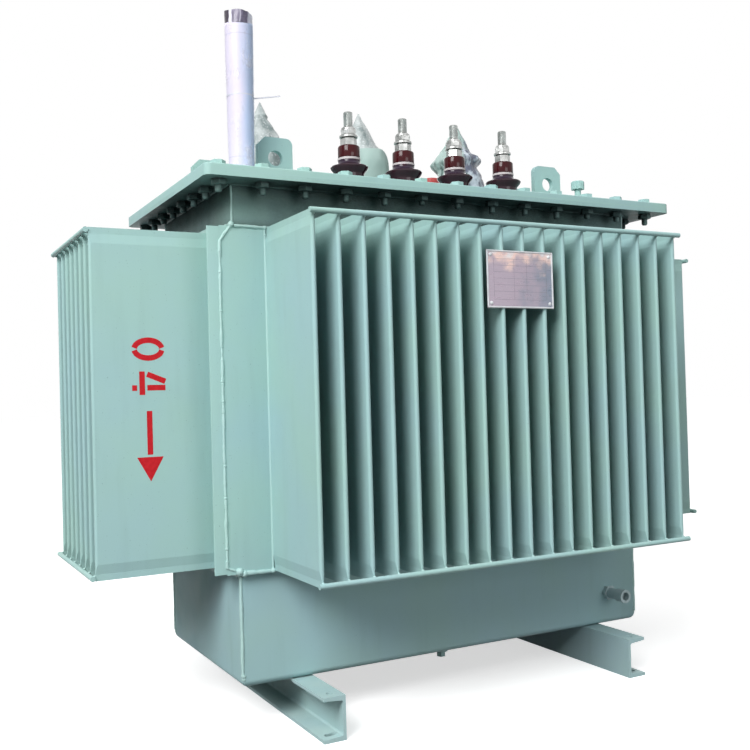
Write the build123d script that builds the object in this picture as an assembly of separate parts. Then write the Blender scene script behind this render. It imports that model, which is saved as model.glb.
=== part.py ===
"""Oil-filled distribution transformer with corrugated cooling walls, in millimetres.

+X runs along the long side, the low-voltage side faces -Y, and +Z is up.
The origin is at floor level under the middle of the tank.
"""
import os
from collections import namedtuple

from build123d import *

# Base channels, back to back across the two ends of the tank
channel_height = 75
channel_flange = 40.5
channel_web = 5
channel_flange_root = 8.5
channel_flange_tip = 5.5
channel_root_radius = 4
channel_overhang = 125
foot_inset = 114
foot_slot_end = 20
foot_slot_width = 12
foot_slot_length = 22

# Lower tank, a folded trough, and the frame that closes the tank above the walls
tank_length = 888
tank_width = 410
tank_plate = 5
tank_corner_radius = 4
trough_height = 212
trough_bend_radius = 12
frame_height = 89

# Corrugated walls, each one folded sheet with hollow fins
wall_height = 596
wall_lap = 15
wall_sheet = 1.5
fin_thickness = 8.5
fin_seam_height = 11
fin_slope_height = 16
rod_diameter = 9

# Front and rear walls
long_wall_step = 10
long_wall_flat = 75
long_fin_pitch = 45
long_fin_depth = 196
long_rod_overhang_near = 8
long_rod_overhang_far = 11

# Left and right walls, with a lip past the turned-in edges and fins set in from the ends
short_wall_step = 26
short_wall_flat = 60
short_wall_lip = 4.5
short_fin_inset = 8
short_fin_pitch = 42
short_fin_depth = 205
short_rod_overhang_near = 13
short_rod_overhang_far = 4

# Core and windings inside the tank
core_foot_height = 45
core_foot_length = 90
core_end_gap = 31
yoke_height = 110
yoke_thickness = 110
limb_radius = 60
limb_height = 430
winding_gap = 6
winding_top_gap = 15

# Rim flange, gasket and cover
cover_end_overhang = 71
cover_side_overhang = 61
cover_offset = 7
cover_corner_radius = 12
cover_edge_radius = 2
cover_thickness = 10
gasket_thickness = 2
flange_thickness = 8

# Bushing rows, counted from the long edges of the cover
bushing_row_inset = 126

# Low-voltage bushings, heights counted from the cover
lv_count = 4
lv_spacing = 120
lv_gasket_radius = 30
lv_gasket_thickness = 5
lv_neck_radius = 28
lv_neck_height = 26
lv_brim_radius = 36.5
lv_brim_drop = 12
lv_brim_height = 3.5
lv_flare_height = 6.5
lv_flare_shares = (0.4, 0.33)
lv_waist_radius = 21.5
lv_waist_height = 5.5
lv_ring_radius = 22
lv_ring_height = 4
lv_barrel_radius = 21
lv_barrel_height = 24
lv_barrel_edge_radius = 3
lv_collar_flats = 28
lv_collar_height = 15.5
lv_washer_radius = 17.5
lv_washer_height = 3
lv_nut_flats = 28
lv_nut_height = 13
lv_nut_cone_radius = 10.5
lv_nut_cone_height = 7
lv_stud_radius = 9
lv_stud_length = 28
lv_stud_chamfer = 2

# High-voltage bushings under their transport wraps, heights counted from the cover
hv_count = 3
hv_spacing = 250
hv_foot_radius = 46
hv_foot_height = 14
hv_core_radius = 27
hv_shed_radius = 48
hv_shed_pitch = 50
hv_shed_slope = 14
hv_shed_rim = 5
hv_shed_first_height = 36
hv_shed_count = 2
hv_top_height = 160
hv_stud_radius = 7
hv_stud_length = 52
hv_nut_flats = 24
hv_nut_height = 12
wrap_film = 1.5
wrap_foot_radius = 58
wrap_shoulder_radius = 56
wrap_shoulder_height = 135
wrap_neck_radius = 44
wrap_neck_height = 162
wrap_tip_radius = 4
wrap_tip_height = 246
wrap_swell_shares = (0.98, 1.0, 1.1)
wrap_tip_shares = (0.984, 1.0, 1.02)

# Lifting lugs on the cover
lug_width = 70
lug_height = 97
lug_thickness = 12
lug_outer_cut = 15
lug_inner_radius = 13
lug_hole_radius = 14.5
lug_hole_height = 58
lug_row_inset = 161
lug_front_gap = 140
lug_rear_gap = 130

# Oil filler pipe with a rolled sheet of paper round it, held by a strap
filler_lug_gap = 79.5
filler_inset = 116
filler_boss_radius = 30
filler_boss_height = 10
filler_pipe_radius = 20
filler_pipe_height = 280
filler_cap_radius = 22
filler_cap_height = 12
roll_radius = 25
roll_foot_radius = 22.8
roll_taper_height = 130
roll_top_height = 287
roll_clearance = 0.3
sleeve_radius = 24.5
sleeve_film = 1.5
sleeve_top_height = 311
tie_height = 150
tie_band = 4
tie_thickness = 1.2
tie_tail_length = 54
tie_tail_lift_angle = 12

# Pressure relief valve on the cover
relief_lug_gap = 84
relief_inset = 155
relief_boss_radius = 17
relief_boss_height = 8
relief_stem_radius = 7
relief_stem_height = 45
relief_cap_radius = 14.5
relief_cap_height = 18
relief_cap_chamfer = 2
relief_flute_count = 8
relief_flute_radius = 2

# Tap changer knob on the cover
tap_offset = 90
tap_base_radius = 30
tap_base_height = 14
tap_cap_radius = 17
tap_cap_height = 61
tap_cap_edge_radius = 3

# Drain valve on the front of the trough
drain_inset = 74
drain_rise = 65
drain_hex_flats = 27
drain_hex_thickness = 9
drain_pipe_radius = 11
drain_pipe_length = 26
drain_end_radius = 13.5
drain_end_length = 20
drain_bore_radius = 8.5
drain_bore_depth = 14

# Drain plug under the trough
plug_inset = 75
plug_boss_radius = 13.5
plug_boss_height = 19
plug_hex_flats = 16
plug_hex_height = 10

# Rating plate across the tips of the front fins
plate_offset = 13.5
plate_drop = 102
plate_length = 143
plate_height = 101
plate_thickness = 1.5
plate_corner_radius = 3

# One overrun serves every cut
overrun = 5

# Lengths that follow from the tank
channel_length = tank_width + 2 * channel_overhang
foot_gauge = tank_length - 2 * foot_inset
foot_slot_spacing = channel_length - 2 * foot_slot_end
wall_length = tank_length + 2 * short_wall_step
wall_width = tank_width + 2 * long_wall_step
cover_length = tank_length + 2 * cover_end_overhang
cover_width = tank_width + 2 * cover_side_overhang
limb_spacing = (tank_length - 2 * tank_plate - 2 * core_end_gap) / hv_count
winding_radius = (limb_spacing - winding_gap) / 2
mouth_length = tank_length - 2 * tank_plate
mouth_width = tank_width - 2 * tank_plate

# Levels
wall_bottom = channel_height + trough_height - wall_lap
wall_top = wall_bottom + wall_height
frame_bottom = wall_top - wall_lap
flange_bottom = frame_bottom + frame_height
gasket_bottom = flange_bottom + flange_thickness
cover_bottom = gasket_bottom + gasket_thickness
cover_top = cover_bottom + cover_thickness

# Places
channel_back_x = foot_gauge / 2 - channel_flange / 2
channel_tip_x = channel_back_x + channel_flange
fin_tip_y = wall_width / 2 + long_fin_depth
bushing_row_y = cover_width / 2 - bushing_row_inset
lug_row_y = cover_width / 2 - lug_row_inset
lug_front_x = (lv_count - 1) / 2 * lv_spacing + lug_front_gap
lug_rear_x = (hv_count - 1) / 2 * hv_spacing + lug_rear_gap

# One corrugated wall: its sheet, the edges turned in to the tank, its fins and the rods on their tips
Wall = namedtuple("Wall", "length edge_length ledge lip flat inset pitch depth overhang_near overhang_far")
long_wall = Wall(
    length=wall_length,
    edge_length=tank_length,
    ledge=long_wall_step,
    lip=0,
    flat=long_wall_flat,
    inset=0,
    pitch=long_fin_pitch,
    depth=long_fin_depth,
    overhang_near=long_rod_overhang_near,
    overhang_far=long_rod_overhang_far,
)
short_wall = Wall(
    length=wall_width - 2 * wall_sheet,
    edge_length=wall_width - 2 * wall_sheet,
    ledge=short_wall_step,
    lip=short_wall_lip,
    flat=short_wall_flat,
    inset=short_fin_inset,
    pitch=short_fin_pitch,
    depth=short_fin_depth,
    overhang_near=short_rod_overhang_near,
    overhang_far=short_rod_overhang_far,
)


def disc(radius, height, level=0):
    """A round plate standing on the given level."""
    return Pos(0, 0, level) * Cylinder(radius, height, align=(Align.CENTER, Align.CENTER, Align.MIN))


def hexagon(flats, height, level=0):
    """A hexagonal prism, sized across its flats, standing on the given level."""
    outline = RegularPolygon(flats / 2, 6, major_radius=False)
    return Pos(0, 0, level) * extrude(outline, height)


def slab(length, width, height, level=0):
    """A rectangular block centred over the origin, standing on the given level."""
    return Pos(0, 0, level) * Box(length, width, height, align=(Align.CENTER, Align.CENTER, Align.MIN))


def turned(points):
    """The solid swept by a closed outline of (radius, height) points about the vertical axis."""
    outline = make_face(Plane.XZ * Polyline(*points, close=True))
    return revolve(outline, Axis.Z)


def row_places(count, spacing):
    """Places of a row of equal steps, centred on zero."""
    return [(number - (count - 1) / 2) * spacing for number in range(count)]


def base_channel():
    """The channel under the right end, open to +X, with slots and holes for the hold-down bolts."""
    inner_x = channel_back_x + channel_web
    outline = Polyline(
        (channel_back_x, 0),
        (channel_tip_x, 0),
        (channel_tip_x, channel_flange_tip),
        (inner_x, channel_flange_root),
        (inner_x, channel_height - channel_flange_root),
        (channel_tip_x, channel_height - channel_flange_tip),
        (channel_tip_x, channel_height),
        (channel_back_x, channel_height),
        close=True,
    )
    channel = extrude(make_face(Plane.XZ * outline), channel_length / 2, both=True)
    roots = channel.edges().filter_by(Axis.Y).filter_by_position(Axis.X, inner_x, inner_x)
    channel = fillet(roots, channel_root_radius)
    cut_height = channel_height / 2 + overrun
    for y in row_places(2, foot_slot_spacing):
        slot = extrude(SlotOverall(foot_slot_length, foot_slot_width), cut_height)
        channel -= Pos(foot_gauge / 2, y, -overrun) * slot
        channel -= Pos(foot_gauge / 2, y, channel_height / 2) * disc(foot_slot_width / 2, cut_height)
    return channel


def lower_tank():
    """The folded trough, open at the top."""
    outer = slab(tank_length, tank_width, trough_height)
    outer = fillet(outer.edges().filter_by(Axis.Z), tank_corner_radius)
    outer = fillet(outer.faces().sort_by(Axis.Z)[0].edges(), trough_bend_radius)
    inner = slab(mouth_length, mouth_width, trough_height, tank_plate)
    inner = fillet(inner.faces().sort_by(Axis.Z)[0].edges(), trough_bend_radius - tank_plate)
    return Pos(0, 0, channel_height) * (outer - inner)


def rectangular_ring(length, width, radius, height, offset=0):
    """A flat or upright ring, its outline moved along +X, with the tank's mouth cut through it."""
    outer = Pos(offset, 0, 0) * extrude(RectangleRounded(length, width, radius), height)
    return outer - slab(mouth_length, mouth_width, height + 2 * overrun, -overrun)


def core_and_windings():
    """Three-limbed core on its feet with a winding round each limb, in its place in the tank."""
    limbs = row_places(hv_count, limb_spacing)
    lower_yoke = core_foot_height
    limb_bottom = lower_yoke + yoke_height
    upper_yoke = limb_bottom + limb_height
    yoke = slab(limbs[-1] - limbs[0] + 2 * limb_radius, yoke_thickness, yoke_height)
    core = Pos(0, 0, lower_yoke) * yoke + Pos(0, 0, upper_yoke) * yoke
    foot = slab(core_foot_length, yoke_thickness, core_foot_height)
    core += [Pos(x, 0, 0) * foot for x in (limbs[0], limbs[-1])]
    limb = disc(limb_radius, limb_height, limb_bottom)
    winding = disc(winding_radius, limb_height - winding_top_gap, limb_bottom)
    core += [Pos(x, 0, 0) * (limb + winding) for x in limbs]
    return Pos(0, 0, channel_height + tank_plate) * core


def fin_count(wall):
    """How many fins fit on a wall between its flat ends."""
    return int((wall.length - 2 * wall.flat) // wall.pitch) + 1


def sheet_height(wall):
    """Height of a wall's sheet with its lips."""
    return wall_height + 2 * wall.lip


def fin_height(wall):
    """Height of a wall's fins, set in from the ends of the sheet."""
    return sheet_height(wall) - 2 * wall.inset


def fin_shell(height, depth):
    """The outside of one fin, standing out to -Y from the wall, and the hollow inside it."""
    half = fin_thickness / 2
    seam = wall_sheet
    slope_end = fin_seam_height + fin_slope_height
    upper_slope = height - slope_end
    upper_seam = height - fin_seam_height
    side = [(seam, 0), (seam, fin_seam_height), (half, slope_end)]
    side += [(half, upper_slope), (seam, upper_seam), (seam, height)]
    mirrored = [(-x, z) for x, z in reversed(side)]
    pinched = extrude(make_face(Plane.XZ * Polyline(*side, *mirrored, close=True)), depth)
    round_tip = Pos(0, -depth / 2, 0) * Rot(0, 0, 90) * SlotOverall(2 * depth, fin_thickness)
    folded = Pos(0, depth / 2, 0) * extrude(round_tip, height)
    gap = half - wall_sheet
    hollow = Polyline(
        (0, fin_seam_height),
        (gap, slope_end),
        (gap, upper_slope),
        (0, upper_seam),
        (-gap, upper_slope),
        (-gap, slope_end),
        close=True,
    )
    inside = depth - fin_thickness / 2 + wall_sheet + overrun
    cavity = Pos(0, wall_sheet + overrun, 0) * extrude(make_face(Plane.XZ * hollow), inside)
    return pinched & folded, cavity


def corrugated_wall(wall):
    """One wall with its outer face on the XZ plane, fins towards -Y, edges turned in to the tank."""
    height = sheet_height(wall)
    sheet = Pos(0, wall_sheet / 2, 0) * slab(wall.length, wall_sheet, height)
    edge = Pos(0, wall.ledge / 2, 0) * slab(wall.edge_length, wall.ledge, wall_sheet)
    folded = sheet + Pos(0, 0, wall.lip) * edge + Pos(0, 0, height - wall.lip - wall_sheet) * edge
    fin, cavity = fin_shell(fin_height(wall), wall.depth)
    places = [Pos(x, 0, wall.inset) for x in row_places(fin_count(wall), wall.pitch)]
    folded += [place * fin for place in places]
    folded -= [place * cavity for place in places]
    return Pos(0, 0, wall_bottom - wall.lip) * folded


def fin_rods(wall):
    """Two round bars along the tips of a wall's fins, low and high."""
    run = (fin_count(wall) - 1) * wall.pitch
    bar = Rot(0, 90, 0) * Cylinder(rod_diameter / 2, run + wall.overhang_near + wall.overhang_far)
    middle = (wall.overhang_far - wall.overhang_near) / 2
    tip = -wall.depth - rod_diameter / 2
    low = wall_bottom - wall.lip + wall.inset + rod_diameter / 2
    high = low + fin_height(wall) - rod_diameter
    return Compound(children=[Pos(middle, tip, level) * bar for level in (low, high)])


def lv_bushing():
    """Porcelain of a low-voltage bushing: neck, wide brim, waist and the barrel above the pale ring."""
    neck_top = lv_gasket_thickness + lv_neck_height
    brim_bottom = neck_top + lv_brim_drop
    brim_top = brim_bottom + lv_brim_height
    waist_bottom = brim_top + lv_flare_height
    waist_top = lv_ring_level()
    barrel_bottom = waist_top + lv_ring_height
    barrel_top = barrel_bottom + lv_barrel_height
    side_share, rise_share = lv_flare_shares
    flare_radius = lv_waist_radius + side_share * (lv_brim_radius - lv_waist_radius)
    flare_middle = (flare_radius, brim_top + rise_share * lv_flare_height)
    outline = [
        Line((0, lv_gasket_thickness), (lv_neck_radius, lv_gasket_thickness)),
        Line((lv_neck_radius, lv_gasket_thickness), (lv_neck_radius, neck_top)),
        Line((lv_neck_radius, neck_top), (lv_brim_radius, brim_bottom)),
        Line((lv_brim_radius, brim_bottom), (lv_brim_radius, brim_top)),
        ThreePointArc((lv_brim_radius, brim_top), flare_middle, (lv_waist_radius, waist_bottom)),
        Line((lv_waist_radius, waist_bottom), (lv_waist_radius, waist_top)),
        Line((lv_waist_radius, waist_top), (lv_stud_radius, waist_top)),
        Line((lv_stud_radius, waist_top), (lv_stud_radius, barrel_bottom)),
        Line((lv_stud_radius, barrel_bottom), (lv_barrel_radius, barrel_bottom)),
        Line((lv_barrel_radius, barrel_bottom), (lv_barrel_radius, barrel_top)),
        Line((lv_barrel_radius, barrel_top), (0, barrel_top)),
        Line((0, barrel_top), (0, lv_gasket_thickness)),
    ]
    bushing = revolve(make_face(Plane.XZ * Curve(outline)), Axis.Z)
    top_edge = bushing.edges().filter_by(GeomType.CIRCLE).sort_by(Axis.Z)[-1]
    return fillet(top_edge, lv_barrel_edge_radius)


def lv_ring_level():
    """Height over the cover of the pale ring on the waist of a low-voltage bushing."""
    brim_top = lv_gasket_thickness + lv_neck_height + lv_brim_drop + lv_brim_height
    return brim_top + lv_flare_height + lv_waist_height


def lv_gasket_pair():
    """The seal under a low-voltage bushing and the pale ring on its waist."""
    ring = disc(lv_ring_radius, lv_ring_height, lv_ring_level())
    ring -= disc(lv_stud_radius, lv_ring_height, lv_ring_level())
    return [disc(lv_gasket_radius, lv_gasket_thickness), ring]


def lv_terminal():
    """Threaded stud with its hexagonal collar, washer and coned nut on top of a low-voltage bushing."""
    collar_bottom = lv_ring_level() + lv_ring_height + lv_barrel_height
    washer_bottom = collar_bottom + lv_collar_height
    nut_bottom = washer_bottom + lv_washer_height
    cone_bottom = nut_bottom + lv_nut_height
    nut_top = cone_bottom + lv_nut_cone_height
    stud = disc(lv_stud_radius, lv_stud_length, nut_top)
    stud = chamfer(stud.edges().sort_by(Axis.Z)[-1], lv_stud_chamfer)
    terminal = hexagon(lv_collar_flats, lv_collar_height, collar_bottom)
    terminal += disc(lv_washer_radius, lv_washer_height, washer_bottom)
    terminal += hexagon(lv_nut_flats, lv_nut_height, nut_bottom)
    terminal += turned([
        (0, cone_bottom),
        (lv_nut_flats / 2, cone_bottom),
        (lv_nut_cone_radius, nut_top),
        (0, nut_top),
    ])
    return terminal + stud


def hv_bushing():
    """Porcelain of a high-voltage bushing with its sheds."""
    outline = [(0, 0), (hv_foot_radius, 0)]
    outline += [(hv_foot_radius, hv_foot_height), (hv_core_radius, hv_foot_height)]
    for number in range(hv_shed_count):
        level = hv_shed_first_height + number * hv_shed_pitch
        outline.append((hv_core_radius, level))
        outline.append((hv_shed_radius, level))
        outline.append((hv_shed_radius, level + hv_shed_rim))
        outline.append((hv_core_radius, level + hv_shed_rim + hv_shed_slope))
    outline += [(hv_core_radius, hv_top_height), (0, hv_top_height)]
    return turned(outline)


def hv_terminal():
    """Threaded stud and nut on top of a high-voltage bushing."""
    stud = disc(hv_stud_radius, hv_stud_length, hv_top_height)
    return stud + hexagon(hv_nut_flats, hv_nut_height, hv_top_height)


def wrap_outline(shoulder, tip, inset):
    """Outline of a transport wrap, set in by a film's thickness for its inside."""
    return [
        (0, 0),
        (wrap_foot_radius - inset, 0),
        (shoulder - inset, wrap_shoulder_height),
        (wrap_neck_radius - inset, wrap_neck_height),
        (wrap_tip_radius - inset, tip - inset),
        (0, tip - inset),
    ]


def hv_wrap(shoulder, tip):
    """A film wrap over a high-voltage bushing: a bell round the sheds and a cone over the terminal."""
    return turned(wrap_outline(shoulder, tip, 0)) - turned(wrap_outline(shoulder, tip, wrap_film))


def lifting_lug():
    """An upright plate for the right end: outer top corner cut, inner one round, and a shackle's hole."""
    plate = slab(lug_width, lug_thickness, lug_height)
    plate = chamfer(plate.edges().filter_by(Axis.Y).group_by(Axis.Z)[-1].sort_by(Axis.X)[-1], lug_outer_cut)
    plate = fillet(plate.edges().filter_by(Axis.Y).group_by(Axis.Z)[-1].sort_by(Axis.X)[0], lug_inner_radius)
    hole = Rot(90, 0, 0) * Cylinder(lug_hole_radius, lug_thickness + 2 * overrun)
    return plate - Pos(0, 0, lug_hole_height) * hole


def filler_pipe():
    """Oil filler pipe with its welded boss and screwed cap."""
    pipe = disc(filler_boss_radius, filler_boss_height) + disc(filler_pipe_radius, filler_pipe_height)
    return pipe + disc(filler_cap_radius, filler_cap_height, filler_pipe_height)


def document_roll():
    """A rolled sheet round the filler pipe, narrow at its foot, in a clear sleeve open at the top."""
    bore = filler_pipe_radius + roll_clearance
    inside = sleeve_radius - sleeve_film
    return turned([
        (bore, filler_boss_height),
        (roll_foot_radius, filler_boss_height),
        (roll_radius, roll_taper_height),
        (roll_radius, roll_top_height),
        (sleeve_radius, roll_top_height),
        (sleeve_radius, sleeve_top_height),
        (inside, sleeve_top_height),
        (inside, filler_pipe_height - roll_clearance),
        (bore, filler_pipe_height - roll_clearance),
    ])


def roll_tie():
    """Strap round the paper roll with its tail standing out to +X."""
    band = disc(roll_radius + tie_thickness, tie_band, tie_height) - disc(roll_radius, tie_band, tie_height)
    tail = Box(tie_tail_length, tie_thickness, tie_band, align=(Align.MIN, Align.CENTER, Align.CENTER))
    tail = Rot(0, -tie_tail_lift_angle, 0) * tail
    return band + Pos(roll_radius + tie_thickness / 2, 0, tie_height + tie_band / 2) * tail


def relief_valve():
    """Pressure relief valve: boss, stem and fluted cap."""
    cap_level = relief_boss_height + relief_stem_height
    cap = disc(relief_cap_radius, relief_cap_height, cap_level)
    cap = chamfer(cap.edges().sort_by(Axis.Z)[-1], relief_cap_chamfer)
    flute = Pos(relief_cap_radius, 0, 0) * disc(relief_flute_radius, relief_cap_height, cap_level)
    cap -= [Rot(0, 0, place * 360 / relief_flute_count) * flute for place in range(relief_flute_count)]
    valve = disc(relief_boss_radius, relief_boss_height)
    valve += disc(relief_stem_radius, relief_stem_height, relief_boss_height)
    return valve + cap


def tap_cap():
    """Round cap over the tap changer's spindle."""
    cap = disc(tap_cap_radius, tap_cap_height, tap_base_height)
    return fillet(cap.edges().sort_by(Axis.Z)[-1], tap_cap_edge_radius)


def drain_valve():
    """Hexagon, pipe and hollow end of the drain, standing out along -Y from the trough."""
    pipe_bottom = drain_hex_thickness
    end_bottom = pipe_bottom + drain_pipe_length
    end_top = end_bottom + drain_end_length
    valve = hexagon(drain_hex_flats, drain_hex_thickness)
    valve += disc(drain_pipe_radius, drain_pipe_length, pipe_bottom)
    valve += disc(drain_end_radius, drain_end_length, end_bottom)
    valve -= disc(drain_bore_radius, drain_bore_depth + overrun, end_top - drain_bore_depth)
    return Rot(90, 0, 0) * valve


def drain_plug():
    """Boss and hexagonal plug hanging under the trough."""
    boss = disc(plug_boss_radius, plug_boss_height)
    plug = hexagon(plug_hex_flats, plug_hex_height, plug_boss_height)
    return Rot(180, 0, 0) * (boss + plug)


def nameplate():
    """A thin plate with rounded corners, facing -Y."""
    outline = RectangleRounded(plate_length, plate_height, plate_corner_radius)
    return extrude(Plane.XZ * outline, plate_thickness)


def cover_plate():
    """The cover with rounded corners and a softened upper edge."""
    plate = extrude(RectangleRounded(cover_length, cover_width, cover_corner_radius), cover_thickness)
    return fillet(plate.faces().sort_by(Axis.Z)[-1].edges(), cover_edge_radius)


def build_parts():
    """Every piece by name, each in its own place."""
    parts = {}
    parts["base_channel_right"] = base_channel()
    parts["base_channel_left"] = mirror(base_channel(), Plane.YZ)
    parts["lower_tank"] = lower_tank()
    frame = rectangular_ring(tank_length, tank_width, tank_corner_radius, frame_height)
    parts["upper_frame"] = Pos(0, 0, frame_bottom) * frame

    parts["core_and_windings"] = core_and_windings()

    sides = {
        "front": (Pos(0, -wall_width / 2, 0), long_wall),
        "rear": (Pos(0, wall_width / 2, 0) * Rot(0, 0, 180), long_wall),
        "left": (Pos(-wall_length / 2, 0, 0) * Rot(0, 0, -90), short_wall),
        "right": (Pos(wall_length / 2, 0, 0) * Rot(0, 0, 90), short_wall),
    }
    for side, (place, wall) in sides.items():
        parts["corrugated_wall_" + side] = place * corrugated_wall(wall)
        parts["fin_rods_" + side] = place * fin_rods(wall)

    rim = rectangular_ring(cover_length, cover_width, cover_corner_radius, flange_thickness, cover_offset)
    seal = rectangular_ring(cover_length, cover_width, cover_corner_radius, gasket_thickness, cover_offset)
    parts["rim_flange"] = Pos(0, 0, flange_bottom) * rim
    parts["cover_gasket"] = Pos(0, 0, gasket_bottom) * seal
    parts["cover_plate"] = Pos(cover_offset, 0, cover_bottom) * cover_plate()

    gaskets = []
    for number, x in enumerate(row_places(lv_count, lv_spacing), 1):
        place = Pos(x, -bushing_row_y, cover_top)
        parts[f"lv_bushing_{number}"] = place * lv_bushing()
        parts[f"lv_terminal_{number}"] = place * lv_terminal()
        gaskets += [place * piece for piece in lv_gasket_pair()]
    parts["lv_gaskets"] = Compound(children=gaskets)

    terminals = []
    for number, x in enumerate(row_places(hv_count, hv_spacing), 1):
        place = Pos(x, bushing_row_y, cover_top)
        shoulder = wrap_shoulder_radius * wrap_swell_shares[number - 1]
        tip = wrap_tip_height * wrap_tip_shares[number - 1]
        parts[f"hv_bushing_{number}"] = place * hv_bushing()
        parts[f"hv_wrap_{number}"] = place * hv_wrap(shoulder, tip)
        terminals.append(place * hv_terminal())
    parts["hv_terminals"] = Compound(children=terminals)

    for row, x, y in (("front", lug_front_x, -lug_row_y), ("rear", lug_rear_x, lug_row_y)):
        parts[f"lifting_lug_{row}_left"] = Pos(-x, y, cover_top) * mirror(lifting_lug(), Plane.YZ)
        parts[f"lifting_lug_{row}_right"] = Pos(x, y, cover_top) * lifting_lug()

    filler_place = Pos(-lug_front_x - filler_lug_gap, filler_inset - cover_width / 2, cover_top)
    parts["filler_pipe"] = filler_place * filler_pipe()
    parts["document_roll"] = filler_place * document_roll()
    parts["roll_tie"] = filler_place * roll_tie()
    relief_place = Pos(lug_front_x + relief_lug_gap, relief_inset - cover_width / 2, cover_top)
    parts["relief_valve"] = relief_place * relief_valve()
    tap_place = Pos(tap_offset, 0, cover_top)
    parts["tap_changer_base"] = tap_place * disc(tap_base_radius, tap_base_height)
    parts["tap_changer_cap"] = tap_place * tap_cap()
    drain_place = Pos(tank_length / 2 - drain_inset, -tank_width / 2, channel_height + drain_rise)
    parts["drain_valve"] = drain_place * drain_valve()
    parts["drain_plug"] = Pos(0, plug_inset - tank_width / 2, channel_height) * drain_plug()
    parts["nameplate"] = Pos(plate_offset, -fin_tip_y, wall_top - plate_drop) * nameplate()
    return parts


os.makedirs("parts", exist_ok=True)
for name, piece in build_parts().items():
    export_step(piece, f"parts/{name}.step")
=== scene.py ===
"""Looks of an oil-filled transformer: paint, bolts, welds, terminals, film wraps, paper roll, rating plate.

All lengths are in metres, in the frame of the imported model.
"""
import math
import random

import bmesh
import bpy
from mathutils import Matrix, Vector, noise


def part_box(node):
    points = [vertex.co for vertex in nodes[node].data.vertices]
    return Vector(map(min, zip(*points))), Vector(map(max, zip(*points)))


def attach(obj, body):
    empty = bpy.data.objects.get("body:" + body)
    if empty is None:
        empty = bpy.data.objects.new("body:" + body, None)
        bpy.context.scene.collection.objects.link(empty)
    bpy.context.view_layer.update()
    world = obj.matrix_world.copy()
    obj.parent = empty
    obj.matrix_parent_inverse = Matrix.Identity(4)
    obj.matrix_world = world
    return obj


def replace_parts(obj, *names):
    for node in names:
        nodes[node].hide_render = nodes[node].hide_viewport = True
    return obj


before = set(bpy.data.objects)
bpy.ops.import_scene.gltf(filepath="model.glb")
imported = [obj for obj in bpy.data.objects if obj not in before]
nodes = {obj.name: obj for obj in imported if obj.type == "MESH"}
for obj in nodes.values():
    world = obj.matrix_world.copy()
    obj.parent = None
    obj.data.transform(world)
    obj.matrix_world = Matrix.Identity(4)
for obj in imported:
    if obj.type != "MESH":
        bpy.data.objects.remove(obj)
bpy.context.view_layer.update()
cover_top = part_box("cover_plate")[1].z
SEED = 11
random.seed(SEED)
noise.seed_set(SEED)

# Camera, fitted to the photograph: place, angles in degrees, focal length in pixels of a square image
CAMERA_PLACE = (-1.001157, -1.768176, 0.575051)
CAMERA_YAW = -27.962
CAMERA_PITCH = 1.053
CAMERA_ROLL = -1.613
FOCAL_PIXELS = 954.089
IMAGE_PIXELS = 750
SENSOR_WIDTH = 36.0
CAMERA_CLIP = (0.05, 200.0)

# Light: levels of the sky from below to above the horizon, and the floor's own white
SKY_STOPS = ((0.0, 0.01), (0.5, 0.05), (0.68, 0.18), (0.85, 0.55), (1.0, 0.80))
WHITE = (1.0, 1.0, 1.0, 1.0)
FLOOR_SIZE = 60.0
FLOOR_GLOW = 0.60
FLOOR_PALE = (0.80, 0.80, 0.80)
FLOOR_BOUNCE = (0.10, 0.10, 0.10)

# Soft lamps: name, place, the point that they face, width, watts
LAMPS = (
    ("key", (-3.5, -2.5, 3.5), (0.0, 0.0, 0.5), 2.6, 288.0),
    ("fill", (0.8, -6.0, 0.8), (0.0, 0.0, 0.4), 3.0, 96.0),
    ("back", (2.5, 5.0, 2.2), (0.0, 0.0, 0.5), 3.5, 50.0),
)

# Paint: pairs of tints, then settled dust, runs, specks, and painted shade where a surface sees little sky
PAINT_TINTS = ((0.355, 0.555, 0.515), (0.350, 0.540, 0.550))
# Weld tints: a lighter copy of the paint, painted highlight on the weld beads
WELD_HIGHLIGHT_TINTS = ((0.40, 0.60, 0.56), (0.39, 0.58, 0.58))
# Trough tints: a slightly darker copy of the paint, painted shade on the trough under the fins
TROUGH_SHADED_TINTS = ((0.345, 0.530, 0.520), (0.345, 0.525, 0.560))
# Channel tints: a lighter copy of the paint, painted light on the base channels
CHANNEL_LIT_TINTS = ((0.400, 0.570, 0.560), (0.400, 0.565, 0.600))
FITTING_TINTS = ((0.420, 0.540, 0.545), (0.440, 0.550, 0.590))
# Nut tints: a much darker copy of the paint, painted shade for the nuts under the flange
SHADED_NUT_TINTS = ((0.190, 0.300, 0.280), (0.185, 0.290, 0.295))
PAINT_DUST = (0.50, 0.63, 0.60)
PAINT_RUNS = (0.22, 0.34, 0.33)
PAINT_SPECKS = (0.10, 0.12, 0.11)
# Near-black colour painted in as shade where neighbours hide the sky
PAINTED_SHADE = (0.016, 0.027, 0.027)

# Painted shade: how far neighbours count, the shares of open sky with most and no painted shade, and the
# most painted shade
OPEN_SHELTER = (0.10, 0.10, 0.40, 0.34)
EAVES_SHELTER = (0.35, 0.27, 0.84, 0.97)

# The range that noise mostly keeps to
NOISE_RANGE = (0.3, 0.7)

# Nodes that come in sets
SIDES = ("front", "rear", "left", "right")
LUGS = tuple(f"lifting_lug_{row}_{end}" for row in ("front", "rear") for end in ("left", "right"))

# Fins of the walls, as in the CAD model
LONG_FINS = 18
LONG_PITCH = 0.045
LONG_DEPTH = 0.196
SHORT_FINS = 8
SHORT_PITCH = 0.042
FIN_HALF = 0.00425
ROD_RADIUS = 0.0045

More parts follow.
